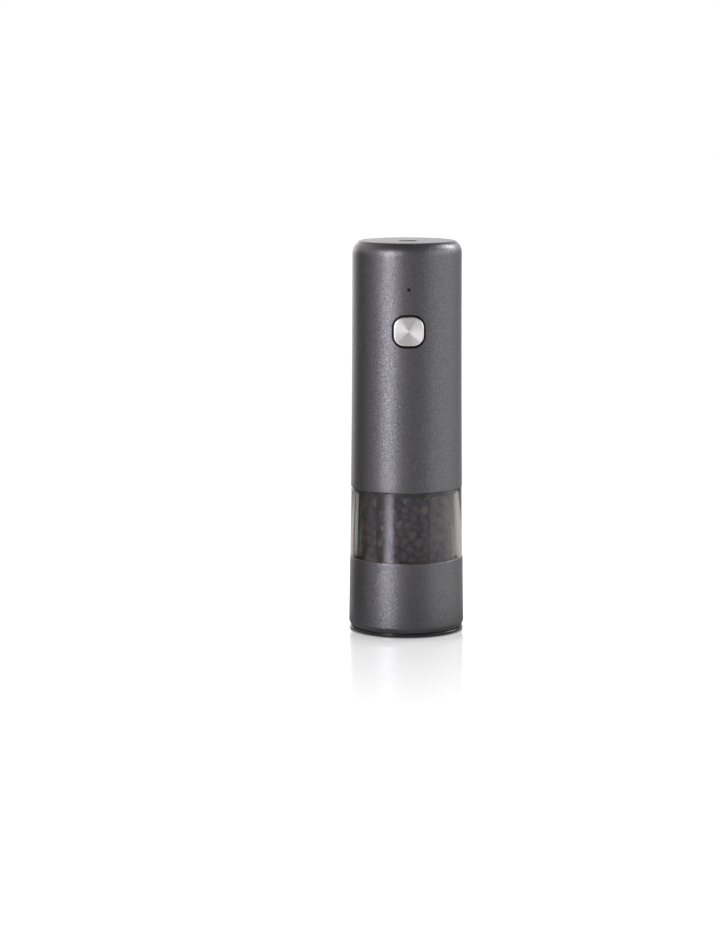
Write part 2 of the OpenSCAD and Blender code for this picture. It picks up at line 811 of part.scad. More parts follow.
module head_floor() {
    color("black") difference() {
        union() {
            rod(chassis_r, lock_top, floor_top);
            rod(plug_r, casing_z, lock_top + eps);
        }
        tube(plug_r - plug_t, hub_r + bush_t + 1.5, casing_z + plug_plate_t, floor_top + 1);
        rod(hub_r + bush_t, casing_z + 0.8, floor_top + 1);
        rod(hub_r + slip_gap, casing_z - 1, floor_top);
        translate([0, 0, floor_top - gearbox_screw_in]) linear_extrude(gearbox_screw_in + 1)
            ear_holes(screw_r);
        rotate_extrude() translate([chamber_bore_r - run_gap - seal_wire_r, seal_z])
            circle(seal_wire_r, $fn = 24);
    }
}

// ---------- base: window, chamber and sleeve ----------

module lock_ring() {
    notch_h = 1.4;
    color("black") difference() {
        tube(lock_r, chamber_r + 0.2, casing_z - lock_ring_drop, lock_top);
        spread(rib_count, rib_start) translate([chamber_r, -1, casing_z - lock_ring_drop - 1])
            cube([lock_ring_t + 1, 2, notch_h + 1]);
    }
}

module window_tube() {
    tube_top = casing_z - 0.2;
    color([0.45, 0.43, 0.42, 0.4]) rotate_extrude() polygon(concat(
        [[window_bore_r, core_top], [core_r, core_top], [core_r, base_h]],
        side_points(base_h, tube_top, window_inset),
        [[window_bore_r, tube_top]]));
}

module pepper_chamber() {
    neck_r = housing_r - 0.3;
    rib_z = base_h + 0.5;
    color([0.8, 0.8, 0.8, 0.3]) {
        rotate_extrude() polygon([
            [housing_bore_r, housing_top], [neck_r, housing_top], [neck_r, funnel_z],
            [chamber_r, base_h], [chamber_r, lock_top - 0.3], [chamber_bore_r, lock_top - 0.3],
            [chamber_bore_r, base_h], [housing_bore_r, funnel_z]]);
        spread(rib_count, rib_start) translate([chamber_r - 0.3, -0.4, rib_z])
            cube([window_bore_r - chamber_r - 0.1 + 0.3 - slip_gap, 0.8, casing_z - lock_ring_drop - rib_z]);
    }
}

module base_sleeve() {
    outer = side_points(sleeve_z + foot_chamfer_h, base_h);
    color("dimgray") rotate_extrude() polygon(concat(
        [[sleeve_bore_r, sleeve_z], [side_r(sleeve_z) - foot_chamfer_w, sleeve_z]],
        outer,
        [[sleeve_bore_r, base_h]]));
}

module base_core() {
    color("black") difference() {
        union() {
            tube(core_r, core_bore_r, lid_t, core_top);
            tube(core_bore_r + eps, inner_tube_r, web_z, web_z + web_t);
            tube(inner_tube_r + inner_tube_t, inner_tube_r, housing_z + flange_t, housing_top - 0.2);
            spread(3) translate([boss_circle_r, 0, 0]) rod(boss_r, housing_z + flange_t, web_z + eps);
        }
        spread(3) translate([boss_circle_r, 0, 0]) rod(screw_r, housing_z, housing_z + grinder_screw_l + 1);
        rod(inner_tube_r, housing_z, housing_top);
    }
}

// ---------- base: grinder ----------

key_w = 2;
key_depth = 0.7;
grinder_screw_l = 7;

module grinder_housing() {
    color("dimgray") difference() {
        union() {
            tube(housing_r, housing_bore_r, housing_z, housing_top);
            tube(housing_r, housing_bore_r - housing_lip_w, housing_z, dial_z);
            tube(flange_r, housing_bore_r, housing_z, housing_z + flange_t);
            rod(shaft_r + 4, hub_z, housing_top);
            spread(3, 30) translate([0, -1.5, hub_z]) cube([housing_bore_r + 0.5, 3, hub_h]);
        }
        spread(3) translate([boss_circle_r, 0, 0]) rod(screw_hole_r, 0, housing_z + flange_t + 1);
        rod(shaft_r + 1.7, hub_z - 1, housing_top + 1);
        spread(3, 90) translate([housing_bore_r - 1, -key_w / 2 - 0.15, carrier_z])
            cube([1 + key_depth + 0.15, key_w + 0.3, hub_z - carrier_z]);
    }
}

module grinder_screws() {
    color("silver") spread(3) translate([boss_circle_r, 0, housing_z]) mirror([0, 0, 1])
        screw(grinder_screw_l, 1);
}

module shaft_bush() {
    color("peru") tube(shaft_r + 1.7, shaft_r + run_gap, hub_z, housing_top);
}

module drive_shaft() {
    color("silver") {
        rod(shaft_r, housing_z + 1.8, casing_z);
        hex_rod(shaft_r, casing_z - eps, shaft_tip_z);
    }
}

module shaft_spring() {
    color("silver") coil(shaft_r + 1.1, 0.4, 4, burr_top, burr_top + spring_h);
}

module burr_nut() {
    color("silver") difference() {
        hex_rod(4.6, housing_z + 2.2, burr_z - 1.2);
        rod(shaft_r, 0, burr_z);
    }
}

module inner_burr() {
    teeth = 12;
    groove_depth = 1;
    groove_skew = 8;
    color("white") difference() {
        union() {
            rod(inner_burr_r, burr_z - 1.2, burr_z + eps);
            translate([0, 0, burr_z]) cylinder(r1 = inner_burr_r, r2 = burr_top_r, h = burr_h);
        }
        rod(shaft_r, 0, burr_top + 1);
        spread(teeth) translate([inner_burr_r - burr_slope - groove_depth, 0, burr_z + 1])
            rotate([groove_skew, -atan(burr_slope), 0]) translate([0, -0.6, 0]) cube([5, 1.2, 2 * burr_h]);
    }
}

module outer_burr() {
    teeth = 18;
    bottom_r = inner_burr_r + fine_gap;
    slope = burr_slope / 2;
    color("white") difference() {
        rod(burr_r, burr_z, burr_top);
        translate([0, 0, burr_z - eps])
            cylinder(r1 = bottom_r, r2 = bottom_r - slope * burr_h, h = burr_h + 2 * eps);
        spread(teeth) translate([bottom_r - 0.4, -0.5, burr_z - 1]) rotate([0, -atan(slope), 0])
            cube([1.2, 1, burr_h + 3]);
    }
}

module burr_carrier() {
    carrier_out_r = housing_bore_r - run_gap;
    color("darkslategray") {
        tube(carrier_out_r, burr_r, carrier_z, burr_top + 0.6);
        tube(carrier_out_r, inner_burr_r + 1.2, carrier_z, burr_z);
        spread(3, 90) translate([carrier_out_r - 0.5, -key_w / 2, carrier_z])
            cube([0.5 + key_depth, key_w, burr_h + carrier_lip_t + 0.6]);
    }
}

module grind_dial() {
    finger_rim_r = housing_bore_r - housing_lip_w - 0.15;
    color("black") difference() {
        union() {
            tube(housing_bore_r - run_gap, inner_burr_r + 0.7, dial_z, carrier_z);
            tube(finger_rim_r, inner_burr_r + 0.7, housing_z - 0.8, dial_z + eps);
        }
        spread(16) translate([inner_burr_r + 0.7, 0, 0]) rod(0.9, 0, dial_z + 1);
    }
}

module aroma_lid() {
    lip_r = core_bore_r - run_gap;
    rim_r = side_r(0) - lid_inset;
    rim_edge = 0.4;
    color("black") {
        rod(rim_r - rim_edge, 0, rim_edge);
        rod(rim_r, rim_edge - eps, lid_t);
        tube(lip_r, lip_r - lid_lip_t, lid_t - eps, lid_t + lid_lip_h);
    }
}

upper_casing();
port_surround();
usb_socket();
charging_board();
charge_light();
button_frame();
power_button();
switch_plunger();
button_spring();
push_switch();
front_light_pipe();
status_led();
control_board();
battery_cell();
chassis_front();
chassis_rear();
chassis_screws();
motor_end_cap();
motor_can();
motor_screws();
motor_leads();
cell_leads();
charge_leads();
motor_shaft();
motor_pinion();
motor_plate();
ring_gear();
gearbox_screws();
planet_1a();
planet_1b();
planet_1c();
carrier_1();
planet_2a();
planet_2b();
planet_2c();
carrier_2();
output_bush();
head_floor();
seal_ring();
lock_ring();
window_tube();
pepper_chamber();
base_sleeve();
base_core();
grinder_housing();
grinder_screws();
shaft_bush();
drive_shaft();
shaft_spring();
inner_burr();
burr_nut();
outer_burr();
burr_carrier();
grind_dial();
aroma_lid();
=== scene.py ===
import json
import math

import bmesh
import bpy
import numpy as np
from mathutils import Matrix, Vector, noise


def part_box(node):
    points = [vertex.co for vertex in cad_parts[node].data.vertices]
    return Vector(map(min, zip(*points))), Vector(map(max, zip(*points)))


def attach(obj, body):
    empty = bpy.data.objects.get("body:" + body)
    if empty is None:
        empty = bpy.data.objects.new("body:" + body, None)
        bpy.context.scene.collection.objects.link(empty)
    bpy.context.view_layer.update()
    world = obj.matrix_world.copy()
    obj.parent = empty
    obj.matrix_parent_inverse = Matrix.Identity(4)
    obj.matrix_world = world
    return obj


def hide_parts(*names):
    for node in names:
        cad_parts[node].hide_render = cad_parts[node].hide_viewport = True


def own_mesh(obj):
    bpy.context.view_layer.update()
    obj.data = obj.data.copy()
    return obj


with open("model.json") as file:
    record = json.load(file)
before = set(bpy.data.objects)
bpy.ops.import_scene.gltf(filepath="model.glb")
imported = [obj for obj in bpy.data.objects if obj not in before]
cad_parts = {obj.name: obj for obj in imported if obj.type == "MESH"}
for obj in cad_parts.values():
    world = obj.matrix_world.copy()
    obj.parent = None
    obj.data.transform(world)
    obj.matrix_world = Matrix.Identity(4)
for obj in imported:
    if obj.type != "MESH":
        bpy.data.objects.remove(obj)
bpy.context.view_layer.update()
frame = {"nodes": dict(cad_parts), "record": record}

# A rechargeable pepper mill. Profiles are written in millimetres, as in the part's source, and
# become metres when a mesh is made. The front, with the button, faces -Y.
MM = 0.001


def box_mm(node):
    low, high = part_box(node)
    return [v / MM for v in low], [v / MM for v in high]


# ---------- sizes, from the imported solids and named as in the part's source ----------

casing_low, casing_high = box_mm("upper_casing")
sleeve_low, sleeve_high = box_mm("base_sleeve")
window_low, window_high = box_mm("window_tube")
chamber_low, chamber_high = box_mm("pepper_chamber")
ring_low, ring_high = box_mm("lock_ring")
button_low, button_high = box_mm("power_button")
surround_low, surround_high = box_mm("port_surround")
socket_low, socket_high = box_mm("usb_socket")
pipe_low, pipe_high = box_mm("front_light_pipe")
charge_low, charge_high = box_mm("charge_light")
lid_high = box_mm("aroma_lid")[1]
floor_high = box_mm("head_floor")[1]
frame_high = box_mm("button_frame")[1]
housing_high = box_mm("grinder_housing")[1]

MILL_H, CASING_Z = casing_high[2], casing_low[2]
SLEEVE_Z, BASE_H = sleeve_low[2], sleeve_high[2]
METAL_T = 1.2
TOP_EDGE_R, TOP_EDGE_DROP = 4.35, 6.5
FOOT_CHAMFER_H, FOOT_CHAMFER_W = 2.2, 0.9
RUN_GAP, SLIP_GAP = 0.08, 0.3


def widening(z):
    return ((MILL_H - z) / MILL_H) ** 2


FLARE = (sleeve_high[0] - casing_high[0]) / (
    widening(SLEEVE_Z + FOOT_CHAMFER_H) - widening(CASING_Z))
TOP_R = casing_high[0] - FLARE * widening(CASING_Z)


def side_r(z):
    """Radius of the outer surface, which widens gently towards the table."""
    return TOP_R + FLARE * widening(z)


CASING_BORE_R = TOP_R - METAL_T
SLEEVE_BORE_R = side_r(BASE_H) - METAL_T
WINDOW_INSET, WINDOW_T = 0.12, 1.7
WINDOW_BORE_R = side_r(CASING_Z) - WINDOW_INSET - WINDOW_T
SPIGOT_R = SLEEVE_BORE_R - SLIP_GAP
LOCK_R, LOCK_RING_T, LOCK_RING_GAP = ring_high[0], 1.0, 0.2
CHAMBER_R = LOCK_R - LOCK_RING_T - LOCK_RING_GAP
CHAMBER_T = 0.8
CHAMBER_BORE_R = CHAMBER_R - CHAMBER_T
CHASSIS_R = floor_high[0]
BOSS_R, SCREW_HEAD_R, SCREW_HEAD_GAP, HOUSING_T = 2.4, 2.2, 0.6, 1.9
HOUSING_R = housing_high[0] - BOSS_R - SCREW_HEAD_R - SCREW_HEAD_GAP
HOUSING_BORE_R = HOUSING_R - HOUSING_T
NECK_H = 2
HOUSING_TOP = housing_high[2]
FUNNEL_Z = HOUSING_TOP + NECK_H
BUTTON_Z = (button_low[2] + button_high[2]) / 2
BUTTON_W = button_high[0] - button_low[0]
BUTTON_H = button_high[2] - button_low[2]
BUTTON_CORNER = 5.6
FRAME_GAP, FRAME_W = 0.22, 0.75
LIGHT_Z = (pipe_low[2] + pipe_high[2]) / 2
LIGHT_COLLAR = 1
LIGHT_R = pipe_high[0] - LIGHT_COLLAR
PORT_Y = (surround_low[1] + surround_high[1]) / 2
PORT_W, PORT_D, SLOT_CHAMFER = 9.2, 4.8, 0.8
CHARGE_X = (charge_low[0] + charge_high[0]) / 2
CHARGE_R = 0.5
RIB_COUNT, RIB_TURN = 6, -6
LOCK_TOP, FLOOR_TOP = ring_high[2], floor_high[2]

# The peppercorns, whose heap is hollow in front of the shaft
FILL_Z, HOLLOW_Z = 73.6, 66.2
CORN_COUNT, CORN_LEAST_R, CORN_MOST_R = 700, 2.2, 2.75
PLACE_SEED, WRINKLE_SEED = 7, 11


# ---------- mesh helpers ----------

def soften(points, radius=0.2, steps=4):
    """Rounds a closed outline's corners. A third number on a point is that corner's radius."""
    out = []
    for i, point in enumerate(points):
        r = point[2] if len(point) > 2 else radius
        near = (points[k % len(points)][:2] for k in (i - 1, i, i + 1))
        before, here, after = (np.array(p, float) for p in near)
        u, v = before - here, after - here
        lu, lv = np.linalg.norm(u), np.linalg.norm(v)
        u, v = u / lu, v / lv
        angle = math.acos(float(np.clip(u @ v, -1, 1)))
        if r <= 0 or angle > math.radians(174):
            out.append(tuple(here))
            continue
        cut = min(r / math.tan(angle / 2), 0.45 * lu, 0.45 * lv)
        r = cut * math.tan(angle / 2)
        middle = here + (u + v) / np.linalg.norm(u + v) * r / math.sin(angle / 2)
        a, b = here + u * cut - middle, here + v * cut - middle
        sweep = math.pi - angle
        for k in range(steps + 1):
            t = k / steps
            p = (math.sin((1 - t) * sweep) * a + math.sin(t * sweep) * b) / math.sin(sweep)
            out.append(tuple(middle + p))
    return out


def arc(cx, cy, r, a0, a1, steps):
    turn = [math.radians(a0 + (a1 - a0) * i / steps) for i in range(steps + 1)]
    return [(cx + r * math.cos(a), cy + r * math.sin(a), 0) for a in turn]


def circle(r, count):
    turn = np.linspace(0, 2 * math.pi, count, endpoint=False)
    return [(r * math.cos(a), r * math.sin(a)) for a in turn]


def rounding(cx, cz, across, down, steps):
    """A quarter of an ellipse, from its top out to its side."""
    turn = [math.radians(90 - 90 * i / steps) for i in range(steps + 1)]
    return [(cx + across * math.cos(a), cz + down * math.sin(a), 0) for a in turn]


def side(z0, z1, inset=0.0, steps=24):
    """Points along the outer surface, without the first and last."""
    return [(side_r(z0 + (z1 - z0) * i / steps) - inset, z0 + (z1 - z0) * i / steps, 0)
            for i in range(1, steps)]


def piece(name, verts, faces, body, look, replaces=(), sharp=38):
    """A mesh object from millimetre points, shaded smooth except at its sharp edges."""
    mesh = bpy.data.meshes.new(name)
    mesh.from_pydata([(x * MM, y * MM, z * MM) for x, y, z in verts], [], faces)
    tidy = bmesh.new()
    tidy.from_mesh(mesh)
    bmesh.ops.remove_doubles(tidy, verts=tidy.verts, dist=1e-7)
    bmesh.ops.recalc_face_normals(tidy, faces=tidy.faces)
    tidy.to_mesh(mesh)
    tidy.free()
    obj = bpy.data.objects.new(name, mesh)
    bpy.context.scene.collection.objects.link(obj)
    smooth(obj, sharp)
    if look:
        mesh.materials.append(look)
    if body:
        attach(obj, body)
    if replaces:
        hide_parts(*replaces)
    return obj


def smooth(obj, sharp=38):
    obj.data.polygons.foreach_set("use_smooth", [True] * len(obj.data.polygons))
    obj.data.set_sharp_from_angle(angle=math.radians(sharp))


def lathe_mesh(profile, segments=192):
    """Points and faces of a closed (radius, height) outline turned about the Z axis."""
    turn = [2 * math.pi * k / segments for k in range(segments)]
    verts, rings = [], []
    for r, z in (p[:2] for p in profile):
        if r < 1e-6:
            rings.append([len(verts)])
            verts.append((0, 0, z))
        else:
            rings.append(range(len(verts), len(verts) + segments))
            verts += [(r * math.sin(a), -r * math.cos(a), z) for a in turn]
    faces = []
    for low, high in zip(rings, rings[1:] + rings[:1]):
        for k in range(segments):
            n = (k + 1) % segments
            if len(low) > 1 and len(high) > 1:
                faces.append((low[k], low[n], high[n], high[k]))
            elif len(low) > 1:
                faces.append((low[k], low[n], high[0]))
            elif len(high) > 1:
                faces.append((low[0], high[n], high[k]))
    return verts, faces


def lathe(name, profile, body, look, replaces=(), segments=192, sharp=38):
    verts, faces = lathe_mesh(profile, segments)
    return piece(name, verts, faces, body, look, replaces, sharp)


def loft_mesh(rings, closed=False):
    """Points and faces that join rings of equal length, as a closed loop or capped at both ends."""
    count = len(rings[0])
    verts = [tuple(p) for ring in rings for p in ring]
    faces = []
    for i in range(len(rings) if closed else len(rings) - 1):
        a, b = i * count, (i + 1) % len(rings) * count
        faces += [(a + k, a + (k + 1) % count, b + (k + 1) % count, b + k) for k in range(count)]
    if not closed:
        for start, ring in ((0, rings[0]), (count * (len(rings) - 1), rings[-1])):
            middle = len(verts)
            verts.append(tuple(np.mean(np.array(ring, float), axis=0)))
            faces += [(start + k, start + (k + 1) % count, middle) for k in range(count)]
    return verts, faces


def rounded_rect(w, h, corner, corner_steps=14, side_steps=6):
    """Points around a rounded rectangle, each with its outward direction."""
    out = []
    centres = [(w / 2 - corner, h / 2 - corner), (corner - w / 2, h / 2 - corner),
               (corner - w / 2, corner - h / 2), (w / 2 - corner, corner - h / 2)]
    for q, (cx, cy) in enumerate(centres):
        turn = [math.radians(90 * q + 90 * i / corner_steps) for i in range(corner_steps + 1)]
        out += [((cx + corner * math.cos(a), cy + corner * math.sin(a)), (math.cos(a), math.sin(a)))
                for a in turn]
        nx, ny = centres[(q + 1) % 4]
        normal = (math.cos(turn[-1]), math.sin(turn[-1]))
        start = (cx + corner * normal[0], cy + corner * normal[1])
        end = (nx + corner * normal[0], ny + corner * normal[1])
        if math.dist(start, end) > 1e-6:
            out += [((start[0] + (end[0] - start[0]) * i / side_steps,
                      start[1] + (end[1] - start[1]) * i / side_steps), normal)
                    for i in range(1, side_steps)]
    return out


def grown(outline, grow):
    return [(x + nx * grow, y + ny * grow) for (x, y), (nx, ny) in outline]


def circle_like(outline, r):
    """A circle with one point for each point of the outline, in the same directions."""
    turn = [math.atan2(y, x) for (x, y), _ in outline]
    return [(r * math.cos(a), r * math.sin(a)) for a in turn]


def facing_front(flat, depth, z):
    """Stands flat points up at a depth towards the front, which may vary with x."""
    return [(x, -(depth(x) if callable(depth) else depth), z + y) for x, y in flat]


def lying(flat, height, y0=0.0, x0=0.0):
    return [(x + x0, y + y0, height) for x, y in flat]


def turned(outline, a):
    """Turns (radius, offset) points about the Z axis."""
    return [(r * math.cos(a) - t * math.sin(a), r * math.sin(a) + t * math.cos(a))
            for r, t in outline]


def combine(obj, operation, *tools):
    """Takes closed meshes, as (points, faces), away from an object or joins them to it."""
    for verts, faces in tools:
        tool = piece("tool", verts, faces, None, None)
        step = obj.modifiers.new("combine", "BOOLEAN")
        step.operation, step.solver, step.object = operation, "EXACT", tool
        bake(obj)
        bpy.data.objects.remove(tool)


def bake(obj):
    """Applies an object's modifiers."""
    bpy.context.view_layer.update()
    done = bpy.data.meshes.new_from_object(obj.evaluated_get(bpy.context.evaluated_depsgraph_get()))
    obj.modifiers.clear()
    old, obj.data = obj.data, done
    bpy.data.meshes.remove(old)


# ---------- materials ----------

class Nodes:
    """Short ways to add nodes to a tree and to feed their sockets."""

    def __init__(self, tree):
        self.nodes, self.links = tree.nodes, tree.links

    def put(self, value, socket):
        if isinstance(value, bpy.types.NodeSocket):
            self.links.new(value, socket)
        else:
            socket.default_value = value

    def add(self, kind, feeds=None, **settings):
        made = self.nodes.new(kind)
        for key, value in settings.items():
            setattr(made, key, value)
        for socket, value in (feeds or {}).items():
            self.put(value, made.inputs[socket])
        return made

    def math(self, kind, a, b=0.0):
        return self.add("ShaderNodeMath", {0: a, 1: b}, operation=kind).outputs[0]

    def times(self, a, b):
        return self.math("MULTIPLY", a, b)

    def plus(self, a, b):
        return self.math("ADD", a, b)

    def length(self, a, b):
        return self.math("SQRT", self.plus(self.times(a, a), self.times(b, b)))

    def vector(self, kind, feeds, output=0):
        return self.add("ShaderNodeVectorMath", feeds, operation=kind).outputs[output]

    def remap(self, source, low, high, start=0.0, end=1.0, **settings):
        """Runs from low to high as the source goes from start to end."""
        return self.add("ShaderNodeMapRange", {"Value": source, "From Min": start, "From Max": end,
                                               "To Min": low, "To Max": high},
                        **settings).outputs[0]

    def step(self, source, start, end, low=0.0, high=1.0):
        return self.remap(source, low, high, start, end, interpolation_type="SMOOTHSTEP")

    def mix(self, factor, a, b):
        """Mixes two numbers."""
        return self.add("ShaderNodeMix", {"Factor": factor, 2: a, 3: b},
                        data_type="FLOAT").outputs[0]

    def blend(self, factor, a, b):
        """Mixes two colours."""
        a, b = (v if isinstance(v, bpy.types.NodeSocket) else (*v, 1) for v in (a, b))
        return self.add("ShaderNodeMix", {"Factor": factor, 6: a, 7: b},
                        data_type="RGBA").outputs[2]

    def mix_shaders(self, factor, a, b):
        return self.add("ShaderNodeMixShader", {0: factor, 1: a, 2: b}).outputs[0]

    def ramp(self, factor, stops, interpolation="LINEAR"):
        """A colour ramp through (position, colour) stops."""
        made = self.add("ShaderNodeValToRGB", {0: factor})
        made.color_ramp.interpolation = interpolation
        while len(made.color_ramp.elements) < len(stops):
            made.color_ramp.elements.new(0.5)
        for element, (at, color) in zip(made.color_ramp.elements, stops):
            element.position, element.color = at, (*color, 1)
        return made.outputs[0]


class Look(Nodes):
    """A Principled material and short ways to feed its sockets from nodes."""

    def __init__(self, name, color, roughness=0.5, metallic=0.0, **sockets):
        self.material = bpy.data.materials.new(name)
        self.material.use_nodes = True
        super().__init__(self.material.node_tree)
        self.shader = self.nodes["Principled BSDF"]
        self.output = self.nodes["Material Output"]
        self.material.diffuse_color = (*color, 1)
        self.shader.inputs["Base Color"].default_value = (*color, 1)
        self.shader.inputs["Roughness"].default_value = roughness
        self.shader.inputs["Metallic"].default_value = metallic
        for socket, value in sockets.items():
            self.shader.inputs[socket.replace("_", " ")].default_value = value
        self.color = color
        self.place = self.add("ShaderNodeTexCoord").outputs["Object"]

    def feed(self, socket, source):
        self.links.new(source, self.shader.inputs[socket])

    def surface(self, source):
        self.links.new(source, self.output.inputs["Surface"])

    def noise(self, size, detail=2.0, stretch=(1, 1, 1), rough=0.5):
        """Noise whose blobs are about `size` millimetres wide, from 0 to 1."""
        spread = self.add("ShaderNodeMapping", {"Vector": self.place, "Scale": stretch})
        return self.add("ShaderNodeTexNoise",
                        {"Vector": spread.outputs[0], "Scale": 1 / (size * MM),
                         "Detail": detail, "Roughness": rough}).outputs["Fac"]

    def cells(self, size, output="Color", **settings):
        return self.add("ShaderNodeTexVoronoi", {"Vector": self.place, "Scale": 1 / (size * MM)},
                        **settings).outputs[output]

    def tone(self, factor, low, high):
        """The look's own colour times a number that runs from low to high with the factor."""
        return self.blend(factor, [c * low for c in self.color], [c * high for c in self.color])

    def bump(self, height, distance, strength=1.0, normal=None):
        """Adds relief `distance` millimetres deep to the surface."""
        feeds = {"Height": height, "Distance": distance * MM, "Strength": strength}
        if normal:
            feeds["Normal"] = normal
        made = self.add("ShaderNodeBump", feeds).outputs[0]
        self.feed("Normal", made)
        return made


def anthracite_paint():
    """Satin metallic lacquer, with fine flakes that each face a little their own way."""
    look = Look("anthracite_paint", (0.127, 0.125, 0.130), 0.36, 0.92)
    flakes = look.cells(0.22)
    coarse = look.noise(0.55, 1.0)
    split = look.add("ShaderNodeSeparateColor", {"Color": flakes}).outputs
    shade = look.plus(look.remap(split[0], -0.6, 0.6), look.remap(coarse, -1.0, 1.0, 0.25, 0.75))
    look.feed("Base Color", look.tone(look.remap(shade, 0, 1, -1, 1), 0.7, 1.3))
    look.feed("Roughness", look.remap(split[1], 0.32, 0.40))
    tilt = look.vector("SUBTRACT", {0: flakes, 1: (0.5, 0.5, 0.5)})
    tilt = look.vector("SCALE", {0: tilt, "Scale": 0.2})
    normal = look.add("ShaderNodeNewGeometry").outputs["Normal"]
    leaning = look.vector("ADD", {0: normal, 1: tilt})
    look.feed("Normal", look.vector("NORMALIZE", {0: leaning}))
    return look.material


def spun_metal():
    """Steel turned on a lathe: fine rings about the button's centre, so it shines in fans; the
    darker fans above and below are also painted into its colour as painted shade.
    """
    look = Look("spun_metal", (0.80, 0.785, 0.75), 0.45, 1.0, Anisotropic=0.55)
    centre = look.vector("SUBTRACT", {0: look.place, 1: (0, 0, BUTTON_Z * MM)})
    x, _, z = look.add("ShaderNodeSeparateXYZ", {0: centre}).outputs
    # Angle from straight up, 0 to pi on either side, and the two fans above and below, painted
    # darker as painted shade on the flat face only, not on the rim
    angle = look.math("ABSOLUTE", look.math("ARCTAN2", x, z))
    upper_painted_fan = look.remap(angle, 1.0, 0.0, math.radians(32), math.radians(34.5))
    lower_painted_fan = look.remap(angle, 0.0, 1.0, math.radians(132.5), math.radians(135))
    normal = look.add("ShaderNodeNewGeometry").outputs["Normal"]
    facing = look.vector("DOT_PRODUCT", {0: normal, 1: (0, -1, 0)}, "Value")
    painted_fan_shade = look.times(look.math("MAXIMUM", upper_painted_fan, lower_painted_fan),
                      look.remap(facing, 0.0, 1.0, 0.93, 0.97))
    groove = 0.11 * MM
    ring = look.add("ShaderNodeTexNoise", {"W": look.times(look.length(x, z), 1 / groove),
                                           "Scale": 1.0, "Detail": 2.0},
                    noise_dimensions="1D").outputs[0]
    # Colour from the painted fan shade and the fine rings
    shade = look.plus(look.times(painted_fan_shade, -0.7), look.remap(ring, -0.08, 0.08, 0.3, 0.7))
    look.feed("Base Color", look.tone(look.plus(shade, 0.9), 0.74, 1.0))
    look.bump(ring, 0.004, 0.5)
    tangent = look.add("ShaderNodeCombineXYZ", {0: x, 1: 0.0, 2: z}).outputs[0]
    look.feed("Tangent", look.vector("NORMALIZE", {0: tangent}))
    return look.material


def moulded(name, color, roughness=0.5, grain=0.35, depth=0.012, **sockets):
    """Moulded plastic with a fine spark-eroded grain and slightly uneven shine."""
    look = Look(name, color, roughness, **sockets)
    look.feed("Base Color", look.tone(look.noise(6, 3), 0.88, 1.12))
    look.feed("Roughness",
              look.remap(look.noise(2.5, 3), roughness - 0.07, roughness + 0.07, 0.3, 0.7))
    look.bump(look.noise(grain, 3), depth, 0.6)
    return look.material


def gloss_black():
    """Polished black moulding, with the faint waviness and dust that a gloss surface shows."""
    look = Look("gloss_black", (0.012, 0.012, 0.013), 0.14)
    dust = look.remap(look.cells(0.9, "Distance"), 1.0, 0.0, 0.0, 0.05)
    look.feed("Base Color", look.blend(look.times(dust, 0.25), look.color, (0.3, 0.3, 0.3)))
    look.feed("Roughness", look.remap(look.noise(3, 3), 0.10, 0.2, 0.3, 0.7))
    look.bump(look.noise(2.2, 1), 0.006, 0.4)
    return look.material


def metal(name, color, roughness, stretch=(1, 1, 40), grain=0.5, depth=0.004):
    """Drawn or turned metal: fine lines along its grain and a little tarnish."""
    look = Look(name, color, roughness, 1.0)
    lines = look.noise(grain, 3, stretch)
    look.feed("Base Color", look.tone(look.times(lines, look.noise(5, 3)), 0.7, 1.3))
    look.feed("Roughness", look.remap(lines, roughness - 0.08, roughness + 0.1, 0.3, 0.7))
    look.bump(lines, depth, 0.5)
    return look.material


def ceramic():
    """Sintered grinding ceramic: off-white, finely speckled, chalky where it cuts."""
    look = Look("ceramic", (0.80, 0.77, 0.71), 0.42)
    speck = look.remap(look.cells(0.35, "Distance"), 1.0, 0.0, 0.0, 0.12)
    look.feed("Base Color", look.blend(
        look.times(speck, 0.35), look.tone(look.noise(3, 4), 0.9, 1.08), (0.42, 0.38, 0.33)))
    look.feed("Roughness", look.remap(look.noise(0.8, 2), 0.34, 0.55, 0.3, 0.7))
    look.bump(look.noise(0.25, 3), 0.012, 0.5)
    return look.material


def clear(name, tint, density, roughness, glint, clearness=1.0):
    """Clear plastic that darkens with the thickness seen through, and lets light reach inside."""
    look = Look(name, (0.94, 0.96, 1), roughness, Transmission_Weight=clearness, IOR=1.49,
                Specular_Tint=(*glint, 1))
    haze = look.noise(14, 2, (1, 1, 0.25))
    look.feed("Roughness", look.remap(haze, roughness * 0.6, roughness * 1.5, 0.3, 0.7))
    look.bump(look.noise(9, 1, (1, 1, 0.3)), 0.002, 0.25)
    volume = look.add("ShaderNodeVolumeAbsorption", {"Color": (*tint, 1), "Density": density})
    look.links.new(volume.outputs[0], look.output.inputs["Volume"])
    shadow = look.add("ShaderNodeLightPath").outputs["Is Shadow Ray"]
    passing = look.add("ShaderNodeBsdfTransparent").outputs[0]
    look.surface(look.mix_shaders(shadow, look.shader.outputs[0], passing))
    return look.material


def circuit_board():
    """Solder mask over copper: green, with the paler traces showing through."""
    look = Look("circuit_board", (0.012, 0.075, 0.03), 0.32)
    traces = look.add("ShaderNodeTexBrick", {
        "Vector": look.place, "Scale": 260.0, "Mortar Size": 0.035,
        "Color1": (0.012, 0.085, 0.035, 1), "Color2": (0.01, 0.06, 0.025, 1),
        "Mortar": (0.03, 0.13, 0.05, 1)})
    look.feed("Base Color", traces.outputs["Color"])
    look.feed("Roughness", look.remap(look.noise(1.5, 2), 0.25, 0.4, 0.3, 0.7))
    look.bump(traces.outputs["Fac"], 0.03, 0.5)
    return look.material


